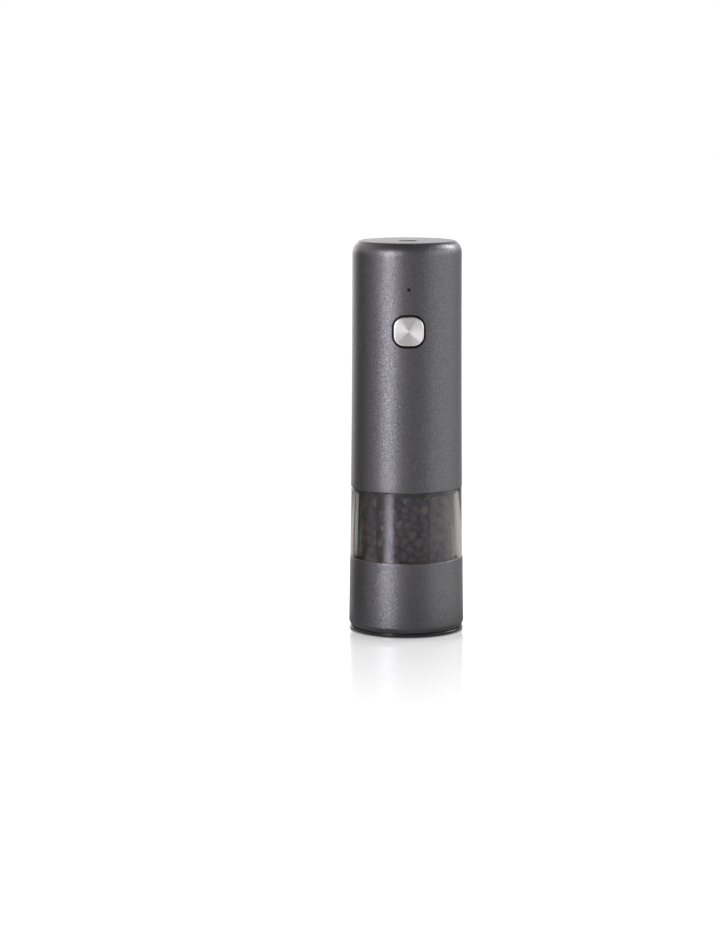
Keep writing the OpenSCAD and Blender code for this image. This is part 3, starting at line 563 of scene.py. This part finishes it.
def peppercorn():
    """Dried peppercorns: nearly black to brown, some reddish or olive, pale on their ridges as wear
    and as a painted highlight.
    """
    look = Look("peppercorn", (0.05, 0.035, 0.025), 0.62)
    own = look.add("ShaderNodeNewGeometry").outputs["Random Per Island"]
    shades = look.ramp(own, [
        (0.0, (0.055, 0.050, 0.050)), (0.34, (0.08, 0.066, 0.062)), (0.54, (0.14, 0.105, 0.085)),
        (0.64, (0.09, 0.086, 0.072)), (0.72, (0.27, 0.18, 0.135)), (0.82, (0.29, 0.16, 0.12)),
        (0.90, (0.44, 0.33, 0.24))], "CONSTANT")
    wrinkles = look.noise(1.1, 4, rough=0.6)
    creased = look.blend(look.remap(wrinkles, 0, 0.6, 0.4, 0.7), shades, (0.035, 0.030, 0.028))
    # Paler on pointed ridges: partly wear, partly a painted highlight
    pointed = look.add("ShaderNodeNewGeometry").outputs["Pointiness"]
    ridge_wear_and_highlight = look.remap(pointed, 0.0, 0.7, 0.5, 0.6)
    look.feed("Base Color", look.blend(ridge_wear_and_highlight, creased, (0.24, 0.18, 0.13)))
    look.feed("Roughness", look.remap(wrinkles, 0.5, 0.75, 0.3, 0.7))
    look.bump(wrinkles, 0.25, 0.8)
    return look.material


LOOKS = {
    "bezel_black": moulded("bezel_black", (0.003, 0.003, 0.004), 0.35, 0.8, 0.004,
                           Specular_IOR_Level=0.12),
    "anthracite_paint": anthracite_paint(),
    "spun_metal": spun_metal(),
    "matte_black": moulded("matte_black", (0.016, 0.016, 0.018), 0.5),
    "gloss_black": gloss_black(),
    "port_black": moulded("port_black", (0.012, 0.012, 0.013), 0.9, Specular_IOR_Level=0.1),
    "smoky_clear": clear("smoky_clear", (0.55, 0.51, 0.42), 300, 0.006, (0.75, 0.75, 0.76)),
    "clear_plastic": clear("clear_plastic", (0.40, 0.38, 0.46), 600, 0.01, (0.7, 0.68, 0.9), 0.99),
    "light_pipe": moulded("light_pipe", (0.006, 0.006, 0.008), 0.2, 0.8, 0.004,
                          Specular_IOR_Level=0.3),
    "usb_shell": metal("usb_shell", (0.62, 0.62, 0.64), 0.3),
    "circuit_board": circuit_board(),
    "led_white": moulded("led_white", (0.8, 0.76, 0.62), 0.3, 0.5, 0.006),
    "switch_grey": moulded("switch_grey", (0.18, 0.18, 0.19), 0.45),
    "cell_wrap": moulded("cell_wrap", (0.025, 0.08, 0.30), 0.28, 1.5, 0.02),
    "chassis_plastic": moulded("chassis_plastic", (0.05, 0.05, 0.054), 0.52),
    "steel": metal("steel", (0.6, 0.6, 0.61), 0.28),
    # A paler, warmer steel for the drive shaft: painted light, brighter than the light reaching it
    # in the chamber would show
    "shaft_steel_painted_bright": metal("shaft_steel_painted_bright", (0.97, 0.89, 0.83), 0.6, (1, 1, 1)),
    "motor_steel": metal("motor_steel", (0.52, 0.52, 0.53), 0.34, (1, 1, 0.3), 1.2),
    "white_nylon": moulded("white_nylon", (0.72, 0.70, 0.64), 0.4, 0.6, 0.01,
                           Subsurface_Weight=0.1),
    "brass": metal("brass", (0.74, 0.55, 0.26), 0.26),
    "bush_bronze": metal("bush_bronze", (0.52, 0.33, 0.17), 0.45, (1, 1, 1), 0.3, 0.01),
    "seal_silicone": moulded("seal_silicone", (0.30, 0.045, 0.035), 0.38, 0.8, 0.01),
    "wire_red": moulded("wire_red", (0.42, 0.03, 0.028), 0.4, 0.6, 0.01),
    "ceramic": ceramic(),
    "peppercorn": peppercorn(),
}

# Nodes whose look isn't the one of their slot: the drive shaft's steel is paler and warmer than
# steel, painted light that makes it look brighter lit
OWN_LOOKS = {"drive_shaft": "shaft_steel_painted_bright"}


def dress(node, slot):
    """A CAD node that keeps its shape gets a look on every face."""
    obj, look = frame["nodes"][node], LOOKS[OWN_LOOKS.get(node, slot)]
    if not obj.material_slots:
        obj.data.materials.append(look)
    for holder in obj.material_slots:
        holder.material = look


# ---------- outer shell ----------

def casing():
    edge_x, bore_edge = TOP_R - TOP_EDGE_R, TOP_EDGE_R - METAL_T
    roof = MILL_H - METAL_T
    shoulder_z = MILL_H - TOP_EDGE_DROP
    profile = soften(
        [(0, MILL_H, 0)]
        + rounding(edge_x, shoulder_z, side_r(shoulder_z) - edge_x, TOP_EDGE_DROP, 24)
        + list(reversed(side(CASING_Z, shoulder_z, steps=40)))
        + [(side_r(CASING_Z), CASING_Z, 0.3), (CASING_BORE_R, CASING_Z, 0.15)]
        + arc(CASING_BORE_R - bore_edge, roof - bore_edge, bore_edge, 0, 90, 8) + [(0, roof, 0)])
    shell = lathe("casing_shell", profile, "head", LOOKS["anthracite_paint"], ["upper_casing"],
                  segments=256)
    slot = rounded_rect(PORT_W, PORT_D, PORT_D / 2, 16, 6)
    window = rounded_rect(BUTTON_W, BUTTON_H, BUTTON_CORNER)
    opening = grown(window, FRAME_GAP + FRAME_W + 0.02)
    dot, pin = circle(LIGHT_R + 0.03, 40), circle(CHARGE_R + 0.03, 32)
    below, above = roof - 1, MILL_H + 1
    inside, outside = TOP_R - 6, TOP_R + 3
    combine(
        shell, "DIFFERENCE",
        loft_mesh([lying(grown(slot, 0), below, PORT_Y),
                   lying(grown(slot, 0), MILL_H - SLOT_CHAMFER, PORT_Y),
                   lying(grown(slot, SLOT_CHAMFER + 1), above, PORT_Y)]),
        loft_mesh([lying(pin, z, PORT_Y, CHARGE_X) for z in (below, above)]),
        loft_mesh([facing_front(opening, d, BUTTON_Z) for d in (inside, outside)]),
        loft_mesh([facing_front(dot, d, LIGHT_Z) for d in (inside, outside)]))
    smooth(shell)


def sleeve():
    top, foot = SLEEVE_Z + FOOT_CHAMFER_H, side_r(SLEEVE_Z) - FOOT_CHAMFER_W
    lathe("base_shell", soften(
        [(SLEEVE_BORE_R, SLEEVE_Z, 0.1), (foot, SLEEVE_Z, 0.15), (side_r(top), top, 0.35)]
        + side(top, BASE_H) + [(side_r(BASE_H), BASE_H, 0.25), (SLEEVE_BORE_R, BASE_H, 0.1)]),
        "base", LOOKS["anthracite_paint"], ["base_sleeve"], segments=256)


def lid():
    rim_r, lid_t = lid_high[0], 1.6
    lip_r = SPIGOT_R - 1.65 - RUN_GAP
    lip_top = lid_high[2]
    lathe("lid_plate", soften(
        [(0, 0.5, 0), (rim_r - 6, 0.5, 0.4), (rim_r - 6.6, 0, 0.2), (rim_r - 0.4, 0, 0.3),
         (rim_r, 0.4, 0.3), (rim_r, lid_t, 0.3), (lip_r + 0.4, lid_t, 0.2),
         (lip_r, lid_t + 0.3, 0.2), (lip_r, lip_top - 0.9, 0.2), (lip_r - 0.25, lip_top, 0.15),
         (lip_r - 1, lip_top, 0.15), (lip_r - 1, lid_t, 0.4), (3, lid_t, 0.3),
         (2.6, lid_t - 0.3, 0.2), (0, lid_t - 0.3, 0)]),
        "lid", LOOKS["gloss_black"], ["aroma_lid"], segments=256)


# ---------- button, light and charging port ----------

def button():
    outline = rounded_rect(BUTTON_W, BUTTON_H, BUTTON_CORNER, 18, 8)
    face, back = -button_low[1], -button_high[1]
    crown = [(-0.78, 0.0), (-0.62, -0.04), (-0.42, -0.15), (-0.22, -0.32), (-0.07, -0.53),
             (0, -0.8), (0, -2.4), (-0.15, -2.5)]
    rings = [facing_front(circle_like(outline, r), face, BUTTON_Z) for r in (0.3, 2.0, 3.6)]
    rings += [facing_front(grown(outline, g), face, BUTTON_Z) for g in (-3.0, -1.8, -0.8)]
    rings += [facing_front(grown(outline, g), face + d, BUTTON_Z) for g, d in crown]
    rings += [facing_front(circle_like(outline, r), d, BUTTON_Z)
              for r, d in ((2.2, face - 2.5), (2.0, face - 2.7), (2.0, back + 0.2), (1.8, back))]
    verts, faces = loft_mesh(rings)
    piece("button_cap", verts, faces, "button", LOOKS["spun_metal"], ["power_button"],
          45)


def button_bezel():
    """The black frame follows the casing's curve, and its plate lies inside the chassis."""
    outline = rounded_rect(BUTTON_W, BUTTON_H, BUTTON_CORNER, 18, 8)
    plate = rounded_rect(BUTTON_W, BUTTON_H, 0.5, 18, 8)
    front_r = side_r(BUTTON_Z) + 0.12
    back = -frame_high[1]
    inner, outer, roll = FRAME_GAP, FRAME_GAP + FRAME_W, 0.22
    floor = back + 1.44

    def curved(drop):
        return lambda x: math.sqrt(front_r ** 2 - x ** 2) - drop

    quarter = [math.radians(90 * k / 4) for k in range(5)]
    rings = [facing_front(grown(outline, outer), back + 1.5, BUTTON_Z),
             facing_front(grown(outline, outer), curved(roll + 0.2), BUTTON_Z)]
    rings += [facing_front(grown(outline, outer - roll + roll * math.cos(a)),
                           curved(roll - roll * math.sin(a)), BUTTON_Z) for a in quarter]
    rings += [facing_front(grown(outline, inner + roll - roll * math.sin(a)),
                           curved(roll - roll * math.cos(a)), BUTTON_Z) for a in quarter]
    # The spring stands on this floor, a hair below its end
    rings += [facing_front(grown(outline, inner), floor, BUTTON_Z),
              facing_front(circle_like(outline, 2.08), floor, BUTTON_Z),
              facing_front(circle_like(outline, 2.08), back, BUTTON_Z),
              facing_front(grown(plate, outer + 1.35), back, BUTTON_Z),
              facing_front(grown(plate, outer + 1.5), back + 0.15, BUTTON_Z),
              facing_front(grown(plate, outer + 1.5), back + 1.35, BUTTON_Z),
              facing_front(grown(plate, outer + 1.35), back + 1.5, BUTTON_Z)]
    verts, faces = loft_mesh(rings, closed=True)
    piece("button_bezel", verts, faces, "head", LOOKS["bezel_black"], ["button_frame"],
          45)


def button_coil():
    """The return spring, seated in the frame."""
    low, high = box_mm("button_spring")
    wire, turns, per_turn = 0.25, 3, 40
    radius, length = (high[0] - low[0]) / 2 - wire, high[1] - low[1]
    rings = []
    for k in range(turns * per_turn + 1):
        a = 2 * math.pi * k / per_turn
        # The first and last half turns lie nearly flat
        along = min(max((k / per_turn - 0.4) / (turns - 0.8), 0), 1)
        depth = -high[1] + wire + along * (length - 2 * wire)
        rings.append([((radius + u) * math.cos(a), -(depth + v),
                       BUTTON_Z + (radius + u) * math.sin(a)) for u, v in circle(wire, 10)])
    verts, faces = loft_mesh(rings)
    coil = piece("button_coil", verts, faces, "head", LOOKS["steel"], ["button_spring"],
                 80)
    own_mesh(coil)


def port():
    """The insert around the charging socket, set just below the top, with a chamfered mouth."""
    w, d = socket_high[0] - socket_low[0], socket_high[1] - socket_low[1]
    mouth = rounded_rect(w - 0.4, d - 0.4, (d - 0.4) / 2, 16, 6)
    slot = rounded_rect(PORT_W, PORT_D, PORT_D / 2, 16, 6)
    flange = rounded_rect(14.6, 8, 2, 16, 6)
    roof = MILL_H - METAL_T
    top = surround_high[2]
    low = surround_low[2]
    rings = [lying(grown(mouth, 0), roof, PORT_Y), lying(grown(mouth, 0), top - 0.25, PORT_Y),
             lying(grown(mouth, 0.22), top, PORT_Y), lying(grown(slot, -0.16), top, PORT_Y),
             lying(grown(slot, -0.08), top - 0.08, PORT_Y), lying(grown(slot, -0.08), roof, PORT_Y),
             lying(grown(flange, -0.1), roof, PORT_Y), lying(grown(flange, 0), roof - 0.1, PORT_Y),
             lying(grown(flange, 0), low + 0.1, PORT_Y), lying(grown(flange, -0.1), low, PORT_Y),
             lying(grown(mouth, 0.25), low, PORT_Y), lying(grown(mouth, 0.25), roof, PORT_Y)]
    verts, faces = loft_mesh(rings, closed=True)
    insert = piece("port_insert", verts, faces, "head", LOOKS["port_black"], ["port_surround"])
    pin = circle(CHARGE_R + 0.05, 32)
    combine(insert, "DIFFERENCE",
            loft_mesh([lying(pin, z, PORT_Y, CHARGE_X) for z in (low - 1, MILL_H + 1)]))
    smooth(insert)


def front_light():
    """A smoked lens over the light, slightly domed, with a collar behind the casing."""
    front = -pipe_low[1]
    back = -pipe_high[1]
    collar_r = LIGHT_R + LIGHT_COLLAR
    steps = [(0.2, front), (LIGHT_R - 0.25, front - 0.02), (LIGHT_R - 0.1, front - 0.08),
             (LIGHT_R, front - 0.22), (LIGHT_R, front - 4), (collar_r, front - 4.1),
             (collar_r, front - 5), (LIGHT_R, front - 5.1), (LIGHT_R, back)]
    verts, faces = loft_mesh([facing_front(circle(r, 48), d, LIGHT_Z) for r, d in steps])
    piece("light_lens", verts, faces, "head", LOOKS["light_pipe"], ["front_light_pipe"])


# ---------- window, chamber and lock ring ----------

def window():
    top, foot = window_high[2], window_low[2]
    lathe("window_wall", soften(
        [(WINDOW_BORE_R, foot, 0.2), (SPIGOT_R, foot, 0.2), (SPIGOT_R, BASE_H, 0.05)]
        + [(side_r(BASE_H) - WINDOW_INSET, BASE_H, 0.12)] + side(BASE_H, top, WINDOW_INSET)
        + [(side_r(top) - WINDOW_INSET, top, 0.2), (WINDOW_BORE_R, top, 0.2)]),
        "base", LOOKS["smoky_clear"], ["window_tube"], segments=256)


def rib_angles():
    first = -90 + 180 / RIB_COUNT + RIB_TURN
    return [math.radians(first + i * 360 / RIB_COUNT) for i in range(RIB_COUNT)]


def chamber():
    """The smoky inner tube with its funnel, and the thin ribs that keep it off the window."""
    low, top = chamber_low[2], chamber_high[2]
    neck_r = HOUSING_R - 0.3
    shell = lathe("chamber_wall", soften(
        [(HOUSING_BORE_R, low, 0.15), (neck_r, low, 0.15), (neck_r, FUNNEL_Z, 0.6),
         (CHAMBER_R, BASE_H, 0.8), (CHAMBER_R, top, 0.25), (CHAMBER_BORE_R, top, 0.25),
         (CHAMBER_BORE_R, BASE_H, 1.2), (HOUSING_BORE_R, FUNNEL_Z, 0.6)]),
        "base", LOOKS["clear_plastic"], ["pepper_chamber"])
    rib_low, rib_top = BASE_H + 0.5, ring_low[2]
    reach, root, half = WINDOW_BORE_R - SLIP_GAP - 0.1, CHAMBER_R - 0.3, 0.35
    for a in rib_angles():
        rib = turned([(reach, -half), (reach, half), (root, half), (root, -half)], a)
        combine(shell, "UNION", loft_mesh([lying(rib, rib_low), lying(rib, rib_top)]))
    shell.data.materials.clear()
    shell.data.materials.append(LOOKS["clear_plastic"])
    smooth(shell)


def lock():
    """The black ring that the head snaps over, with a notch for each rib."""
    low, inner, groove_r = ring_low[2], CHAMBER_R + LOCK_RING_GAP, LOCK_R - 0.25
    ring = lathe("lock_collar", soften(
        [(inner, low, 0.15), (LOCK_R, low, 0.3), (LOCK_R, CASING_Z + 2.4, 0.1),
         (groove_r, CASING_Z + 2.6, 0.1), (groove_r, CASING_Z + 3.4, 0.1),
         (LOCK_R, CASING_Z + 3.6, 0.1), (LOCK_R, LOCK_TOP, 0.4), (inner, LOCK_TOP, 0.3)]),
        "base", LOOKS["matte_black"], ["lock_ring"])
    for a in rib_angles():
        notch = turned([(CHAMBER_R, -1), (LOCK_R + 1, -1), (LOCK_R + 1, 1), (CHAMBER_R, 1)], a)
        combine(ring, "DIFFERENCE", loft_mesh([lying(notch, low - 1), lying(notch, low + 1.4)]))
    smooth(ring)


def head_plug():
    """The floor of the head: a plug with a seal groove, and the flange under the chassis."""
    bore, plug_r = 5.3, CHAMBER_BORE_R - SLIP_GAP
    seal_z, seal_r = CASING_Z + 3, 0.9
    seal_low, seal_top = seal_z - seal_r, seal_z + seal_r
    groove_x = CHAMBER_BORE_R - RUN_GAP - seal_r
    lathe("head_plug", soften(
        [(bore, CASING_Z, 0.3), (bore + 2.2, CASING_Z, 0.2), (bore + 2.5, CASING_Z + 0.35, 0.2),
         (plug_r - 2.4, CASING_Z + 0.35, 0.2), (plug_r - 2.1, CASING_Z, 0.2),
         (plug_r, CASING_Z, 0.6), (plug_r, seal_low, 0.1), (groove_x - 0.3, seal_low, 0.2),
         (groove_x - 0.3, seal_top, 0.2), (plug_r, seal_top, 0.1), (plug_r, LOCK_TOP, 0.1),
         (CHASSIS_R, LOCK_TOP, 0.2), (CHASSIS_R, FLOOR_TOP, 0.2), (bore + 4, FLOOR_TOP, 0.2),
         (bore + 4, CASING_Z + 2, 0.3), (bore + 1.2, CASING_Z + 2, 0.2),
         (bore + 1.2, CASING_Z + 0.8, 0.1), (bore, CASING_Z + 0.8, 0.1)]),
        "head", LOOKS["matte_black"], ["head_floor"])
    lathe("plug_seal", [(groove_x + x, seal_z + y) for x, y in circle(seal_r, 20)],
          "head", LOOKS["seal_silicone"], ["seal_ring"], sharp=80)


# ---------- peppercorns ----------

def fill_level(x, y):
    """Height of the heap: up to the head, lower behind, hollow from the shaft to the front."""
    bearing, out = np.degrees(np.arctan2(x, -y)), np.hypot(x, y)
    hollow = (bearing > -64) & (bearing < 22) | (x > -6.8) & (x < 3.9) & (y < 1.8)
    heap = FILL_Z - 1.5 * np.clip(x / 20, 0, 1) - 3 * np.clip(y / 20, 0, 1)
    return np.where(hollow, HOLLOW_Z - 0.2 * out, heap)


def corn_places():
    """Scatters balls in the chamber and pushes them apart until they rest on each other."""
    rng = np.random.default_rng(PLACE_SEED)
    radii = rng.uniform(CORN_LEAST_R, CORN_MOST_R, CORN_COUNT)
    shaft, floor_z, spread_r = 3.1, HOUSING_TOP + 0.4, 20.5
    sinking, rounds = 300, 360
    turn = rng.uniform(0, 2 * math.pi, CORN_COUNT)
    out = spread_r * np.sqrt(rng.uniform(0.04, 1, CORN_COUNT))
    at = np.column_stack([out * np.cos(turn), out * np.sin(turn),
                          rng.uniform(floor_z, FILL_Z, CORN_COUNT)])
    for step in range(rounds):
        at[:, 2] -= 0.03 if step < sinking else 0
        gap = at[:, None] - at[None]
        far = np.sqrt((gap ** 2).sum(2)) + 1e-9
        lap = np.clip(0.985 * (radii[:, None] + radii[None]) - far, 0, None)
        np.fill_diagonal(lap, 0)
        at += 0.42 * (gap / far[:, :, None] * lap[:, :, None]).sum(1)
        at[:, 2] = np.clip(at[:, 2], floor_z + radii, fill_level(at[:, 0], at[:, 1]) - radii)
        across = np.hypot(at[:, 0], at[:, 1]) + 1e-9
        slope = np.clip((at[:, 2] - FUNNEL_Z) / (BASE_H - FUNNEL_Z), 0, 1)
        wall = HOUSING_BORE_R + (CHAMBER_BORE_R - HOUSING_BORE_R) * slope - radii - 0.12
        kept = np.clip(across, shaft + radii, np.maximum(wall, shaft + radii))
        at[:, :2] *= (kept / across)[:, None]
    return at, radii


def peppercorns():
    """Each corn is a wrinkled ball of its own, finer where it can be seen."""
    at, radii = corn_places()
    across = np.hypot(at[:, 0], at[:, 1])
    seen = (across > CHAMBER_BORE_R - 7) | (at[:, 2] > np.quantile(at[:, 2], 0.86))
    balls = {}
    for level in (2, 3):
        ball = bmesh.new()
        bmesh.ops.create_icosphere(ball, subdivisions=level, radius=1)
        balls[level] = ([v.co.copy() for v in ball.verts],
                        [tuple(v.index for v in f.verts) for f in ball.faces])
        ball.free()
    rng = np.random.default_rng(WRINKLE_SEED)
    verts, faces = [], []
    for centre, r, fine in zip(at, radii, seen):
        points, joins = balls[3 if fine else 2]
        turn = Matrix.Rotation(rng.uniform(0, 6.28), 3, Vector(rng.normal(size=3)).normalized())
        squash = Vector(rng.uniform(0.93, 1.0, 3))
        offset = Vector(rng.uniform(-50, 50, 3))
        base = len(verts)
        for p in points:
            ridge = 1 - abs(noise.noise(p * 2.3 + offset)) * 2
            fine_ridge = 1 - abs(noise.noise(p * 4.6 + offset)) * 2
            size = r * (0.955 + 0.045 * ridge + 0.018 * fine_ridge)
            q = turn @ Vector((p.x * squash.x, p.y * squash.y, p.z * squash.z)) * size
            verts.append((q.x + centre[0], q.y + centre[1], q.z + centre[2]))
        faces += [tuple(base + i for i in f) for f in joins]
    piece("peppercorns", verts, faces, "base", LOOKS["peppercorn"], sharp=180)


# ---------- floor, light and camera ----------

def table():
    """A white table, with a fading mirror image near the foot and a soft shadow, partly cast and
    partly painted around the foot.
    """
    reach, low = 6.0, -0.0002
    corners = [(-reach, -reach), (reach, -reach), (reach, reach), (-reach, reach)]
    mesh = bpy.data.meshes.new("table")
    mesh.from_pydata([(x, y, low) for x, y in corners], [], [(0, 1, 2, 3)])
    obj = bpy.data.objects.new("table", mesh)
    bpy.context.scene.collection.objects.link(obj)
    look = Look("table", (1, 1, 1), 0.5)
    foot_r = lid_high[0]
    x, y, _ = look.add("ShaderNodeSeparateXYZ", {0: look.place}).outputs
    away = look.length(x, y)
    plain = look.add("ShaderNodeEmission", {"Color": (1, 1, 1, 1), "Strength": 0.80})
    lit = look.add("ShaderNodeBsdfDiffuse", {"Color": (0.34, 0.34, 0.34, 1)})
    base = look.add("ShaderNodeAddShader", {0: plain.outputs[0], 1: lit.outputs[0]}).outputs[0]
    mirror = look.add("ShaderNodeBsdfGlossy", {"Color": (1, 1, 1, 1), "Roughness": 0.06})
    # A painted shadow: the table darkens by its distance from the axis, a dark line of contact
    # around the foot and a fainter painted shadow outside it
    near = look.times(look.remap(away, 0.3, 1.0, foot_r * MM, (foot_r + 1.2) * MM),
                      look.remap(away, 0.8, 1.0, foot_r * MM, (foot_r + 13) * MM))
    painted_shadow_floor = look.add("ShaderNodeMixShader", {0: near, 2: base}).outputs[0]
    fade = look.remap(away, 0.33, 0.0, 0.03, 0.235)
    shown = look.mix_shaders(fade, painted_shadow_floor, mirror.outputs[0])
    # Metal sees a dim patch around the foot, painted shade of the table there, and, past it, the
    # studio; from below the table is clear
    path = look.add("ShaderNodeLightPath").outputs
    under = look.add("ShaderNodeNewGeometry").outputs["Backfacing"]
    mirrored = look.times(path["Is Glossy Ray"], look.step(away, 0.04, 0.1))
    passing = look.math("MAXIMUM", look.math("MAXIMUM", mirrored, path["Is Shadow Ray"]), under)
    painted_foot_shade = look.add("ShaderNodeEmission", {"Color": (1, 1, 1, 1), "Strength": 0.25})
    seen = look.mix_shaders(path["Is Glossy Ray"], shown, painted_foot_shade.outputs[0])
    nothing = look.add("ShaderNodeBsdfTransparent").outputs[0]
    look.surface(look.mix_shaders(passing, seen, nothing))
    mesh.materials.append(look.material)


def studio():
    """The room as the metal sees it: soft boxes and dark sides, by direction from the mill."""
    world = bpy.data.worlds.new("studio")
    bpy.context.scene.world = world
    world.use_nodes = True
    world.node_tree.nodes.clear()
    room = Nodes(world.node_tree)
    way = room.add("ShaderNodeTexCoord").outputs["Generated"]
    x, y, z = room.add("ShaderNodeSeparateXYZ", {0: way}).outputs
    # Azimuth from the front: 0 ahead of the mill, positive to its right
    around = room.times(room.math("ARCTAN2", x, room.times(y, -1.0)), 180 / math.pi)
    height = room.times(room.math("ARCSINE", z), 180 / math.pi)
    to_side = room.math("ABSOLUTE", around)
    turn = room.plus(room.math("DIVIDE", around, 360.0), 0.5)

    def off(azimuth):
        return room.math("ABSOLUTE", room.math("SUBTRACT", around, azimuth))

    # Azimuth, brightness and tint. The ramp holds brightness as a share of full
    full = 8.0
    bands = [(-180, 1.85, 1, 0.98, 0.98), (-172, 1.75, 1, 0.98, 0.97), (-166, 1.5, 1.0, 0.96, 0.92),
             (-142, 1.4, 1.0, 0.96, 0.92), (-135, 0.05, 1, 1, 1), (-95, 0.06, 1, 1, 1),
             (-89, 0.42, 1, 0.98, 1.02), (-60, 0.46, 1, 0.98, 1.02), (-56, 0.50, 0.98, 0.96, 1.06),
             (-52, 0.95, 0.98, 0.96, 1.06), (-48, 2.0, 0.98, 0.96, 1.06),
             (-43, 3.3, 0.98, 0.96, 1.06), (-39, 3.85, 0.98, 0.96, 1.06),
             (-35.5, 3.55, 0.98, 0.96, 1.06), (-32, 2.35, 0.98, 0.96, 1.06),
             (-28, 0.9, 0.99, 0.97, 1.05), (-25, 0.45, 0.99, 0.97, 1.05), (30, 0.34, 1, 0.98, 1.02),
             (50, 0.88, 1, 1, 1), (65, 1.0, 1, 1, 0.99), (112, 1.03, 1, 1, 0.99),
             (120, 0.55, 1, 1, 1), (150, 0.45, 1, 1, 1), (162, 0.8, 1, 1, 1), (170, 1.6, 1, 1, 1),
             (180, 1.85, 1, 1, 1)]
    walls = room.ramp(turn, [
        (azimuth / 360 + 0.5, (level * r / full, level * g / full, level * b / full))
        for azimuth, level, r, g, b in bands])
    # The boxes are hottest a little above the level, and the room goes dark overhead
    beside = room.times(room.step(off(14.0), 28, 42), room.step(to_side, 176, 160))
    in_box = room.step(off(-39.0), 26, 14)
    glow = room.times(room.step(height, 1, 8), room.step(height, 30, 18))
    strength = room.plus(room.times(beside, 1.15), room.times(in_box, 1.9))
    # On the left, behind, the light fades downwards
    falling = room.times(room.math("SUBTRACT", room.step(height, -14, 2, 0.0, 1.5), 0.8),
                         room.step(around, -120, -145))
    level = room.plus(1.0, room.plus(room.times(glow, strength), falling))
    behind, straight_behind = room.step(to_side, 108, 144), room.step(to_side, 150, 168)
    ahead = room.step(off(-8.0), 58, 47)
    roof = room.mix(straight_behind, room.mix(behind, 34.0, 18.0), 14.0)
    roof = room.mix(ahead, roof, room.mix(in_box, 17.0, 20.0))
    overhead = room.step(room.math("SUBTRACT", height, roof), 0.0, 10.0)
    # A box high on the left, over the dark panel
    high = room.times(room.times(room.step(height, 3, 13), room.step(height, 62, 44)),
                      room.times(room.step(around, -84, -104), room.step(around, -160, -148)))
    # Below lies the white table
    below = room.step(height, -22, -36)
    # A lamp high on the right, behind the mill
    bearing, rise = math.radians(119), math.radians(31.5)
    spot = (math.sin(bearing) * math.cos(rise), -math.cos(bearing) * math.cos(rise),
            math.sin(rise))
    near = room.vector("DOT_PRODUCT", {0: way, 1: spot}, "Value")
    edge, core = math.cos(math.radians(15)), math.cos(math.radians(8))
    lamp = room.times(room.step(near, edge, core), 12.5)
    # What clear plastic shows behind it, by azimuth: white, past the edge of a dark panel
    behind_clear = [(-180, 0.45), (-168, 0.45), (-164, 1.0), (-157, 1.0), (-150, 0.08),
                    (-141, 0.08), (-138, 0.4), (-133, 0.4), (-129, 0.06), (-100, 0.06), (-99, 0),
                    (112, 0), (134, 1.0), (176, 1.0), (180, 0.45)]
    seen = room.ramp(turn, [(azimuth / 360 + 0.5, (grey, grey, grey))
                            for azimuth, grey in behind_clear])
    path = room.add("ShaderNodeLightPath").outputs
    back = room.math("MAXIMUM", room.step(around, -104, -112), room.step(around, 112, 134))
    color = room.vector("SCALE", {0: walls, "Scale": room.times(level, full)})
    color = room.blend(overhead, color, (0.2, 0.195, 0.21))
    color = room.blend(high, color, (1.1, 1.08, 1.06))
    color = room.blend(below, color, (1, 1, 1))
    color = room.vector("ADD", {0: color, 1: lamp})
    color = room.blend(room.times(path["Is Transmission Ray"], back), color, seen)
    # The camera itself sees white
    color = room.blend(path["Is Camera Ray"], color, (1, 1, 1))
    paint = room.add("ShaderNodeBackground", {"Color": color, "Strength": 1.0}).outputs[0]
    room.add("ShaderNodeOutputWorld", {"Surface": paint})


def camera():
    """The photograph's view: from 2 degrees left of the front, looking 8 degrees downwards."""
    data = bpy.data.cameras.new("camera")
    data.sensor_width, data.lens = 36, 113.5
    data.clip_start, data.clip_end = 0.05, 50
    obj = bpy.data.objects.new("camera", data)
    distance, height = 1.488, 0.299
    orbit, aside, pitch = math.radians(-2.0), math.radians(0.921), math.radians(8.18)
    obj.location = (distance * math.sin(orbit), -distance * math.cos(orbit), height)
    obj.rotation_euler = (math.pi / 2 - pitch, 0, orbit + aside)
    bpy.context.scene.collection.objects.link(obj)
    bpy.context.scene.camera = obj


# ---------- build ----------

casing()
sleeve()
lid()
button()
button_bezel()
button_coil()
port()
front_light()
window()
chamber()
lock()
head_plug()
peppercorns()

for part in frame["record"]["subparts"]:
    if not frame["nodes"][part["node"]].hide_render:
        dress(part["node"], part["material_slot"])

table()
studio()
camera()

bpy.context.scene.view_settings.view_transform = "Standard"
cycles = bpy.context.scene.cycles
cycles.max_bounces = cycles.transmission_bounces = cycles.transparent_max_bounces = 24
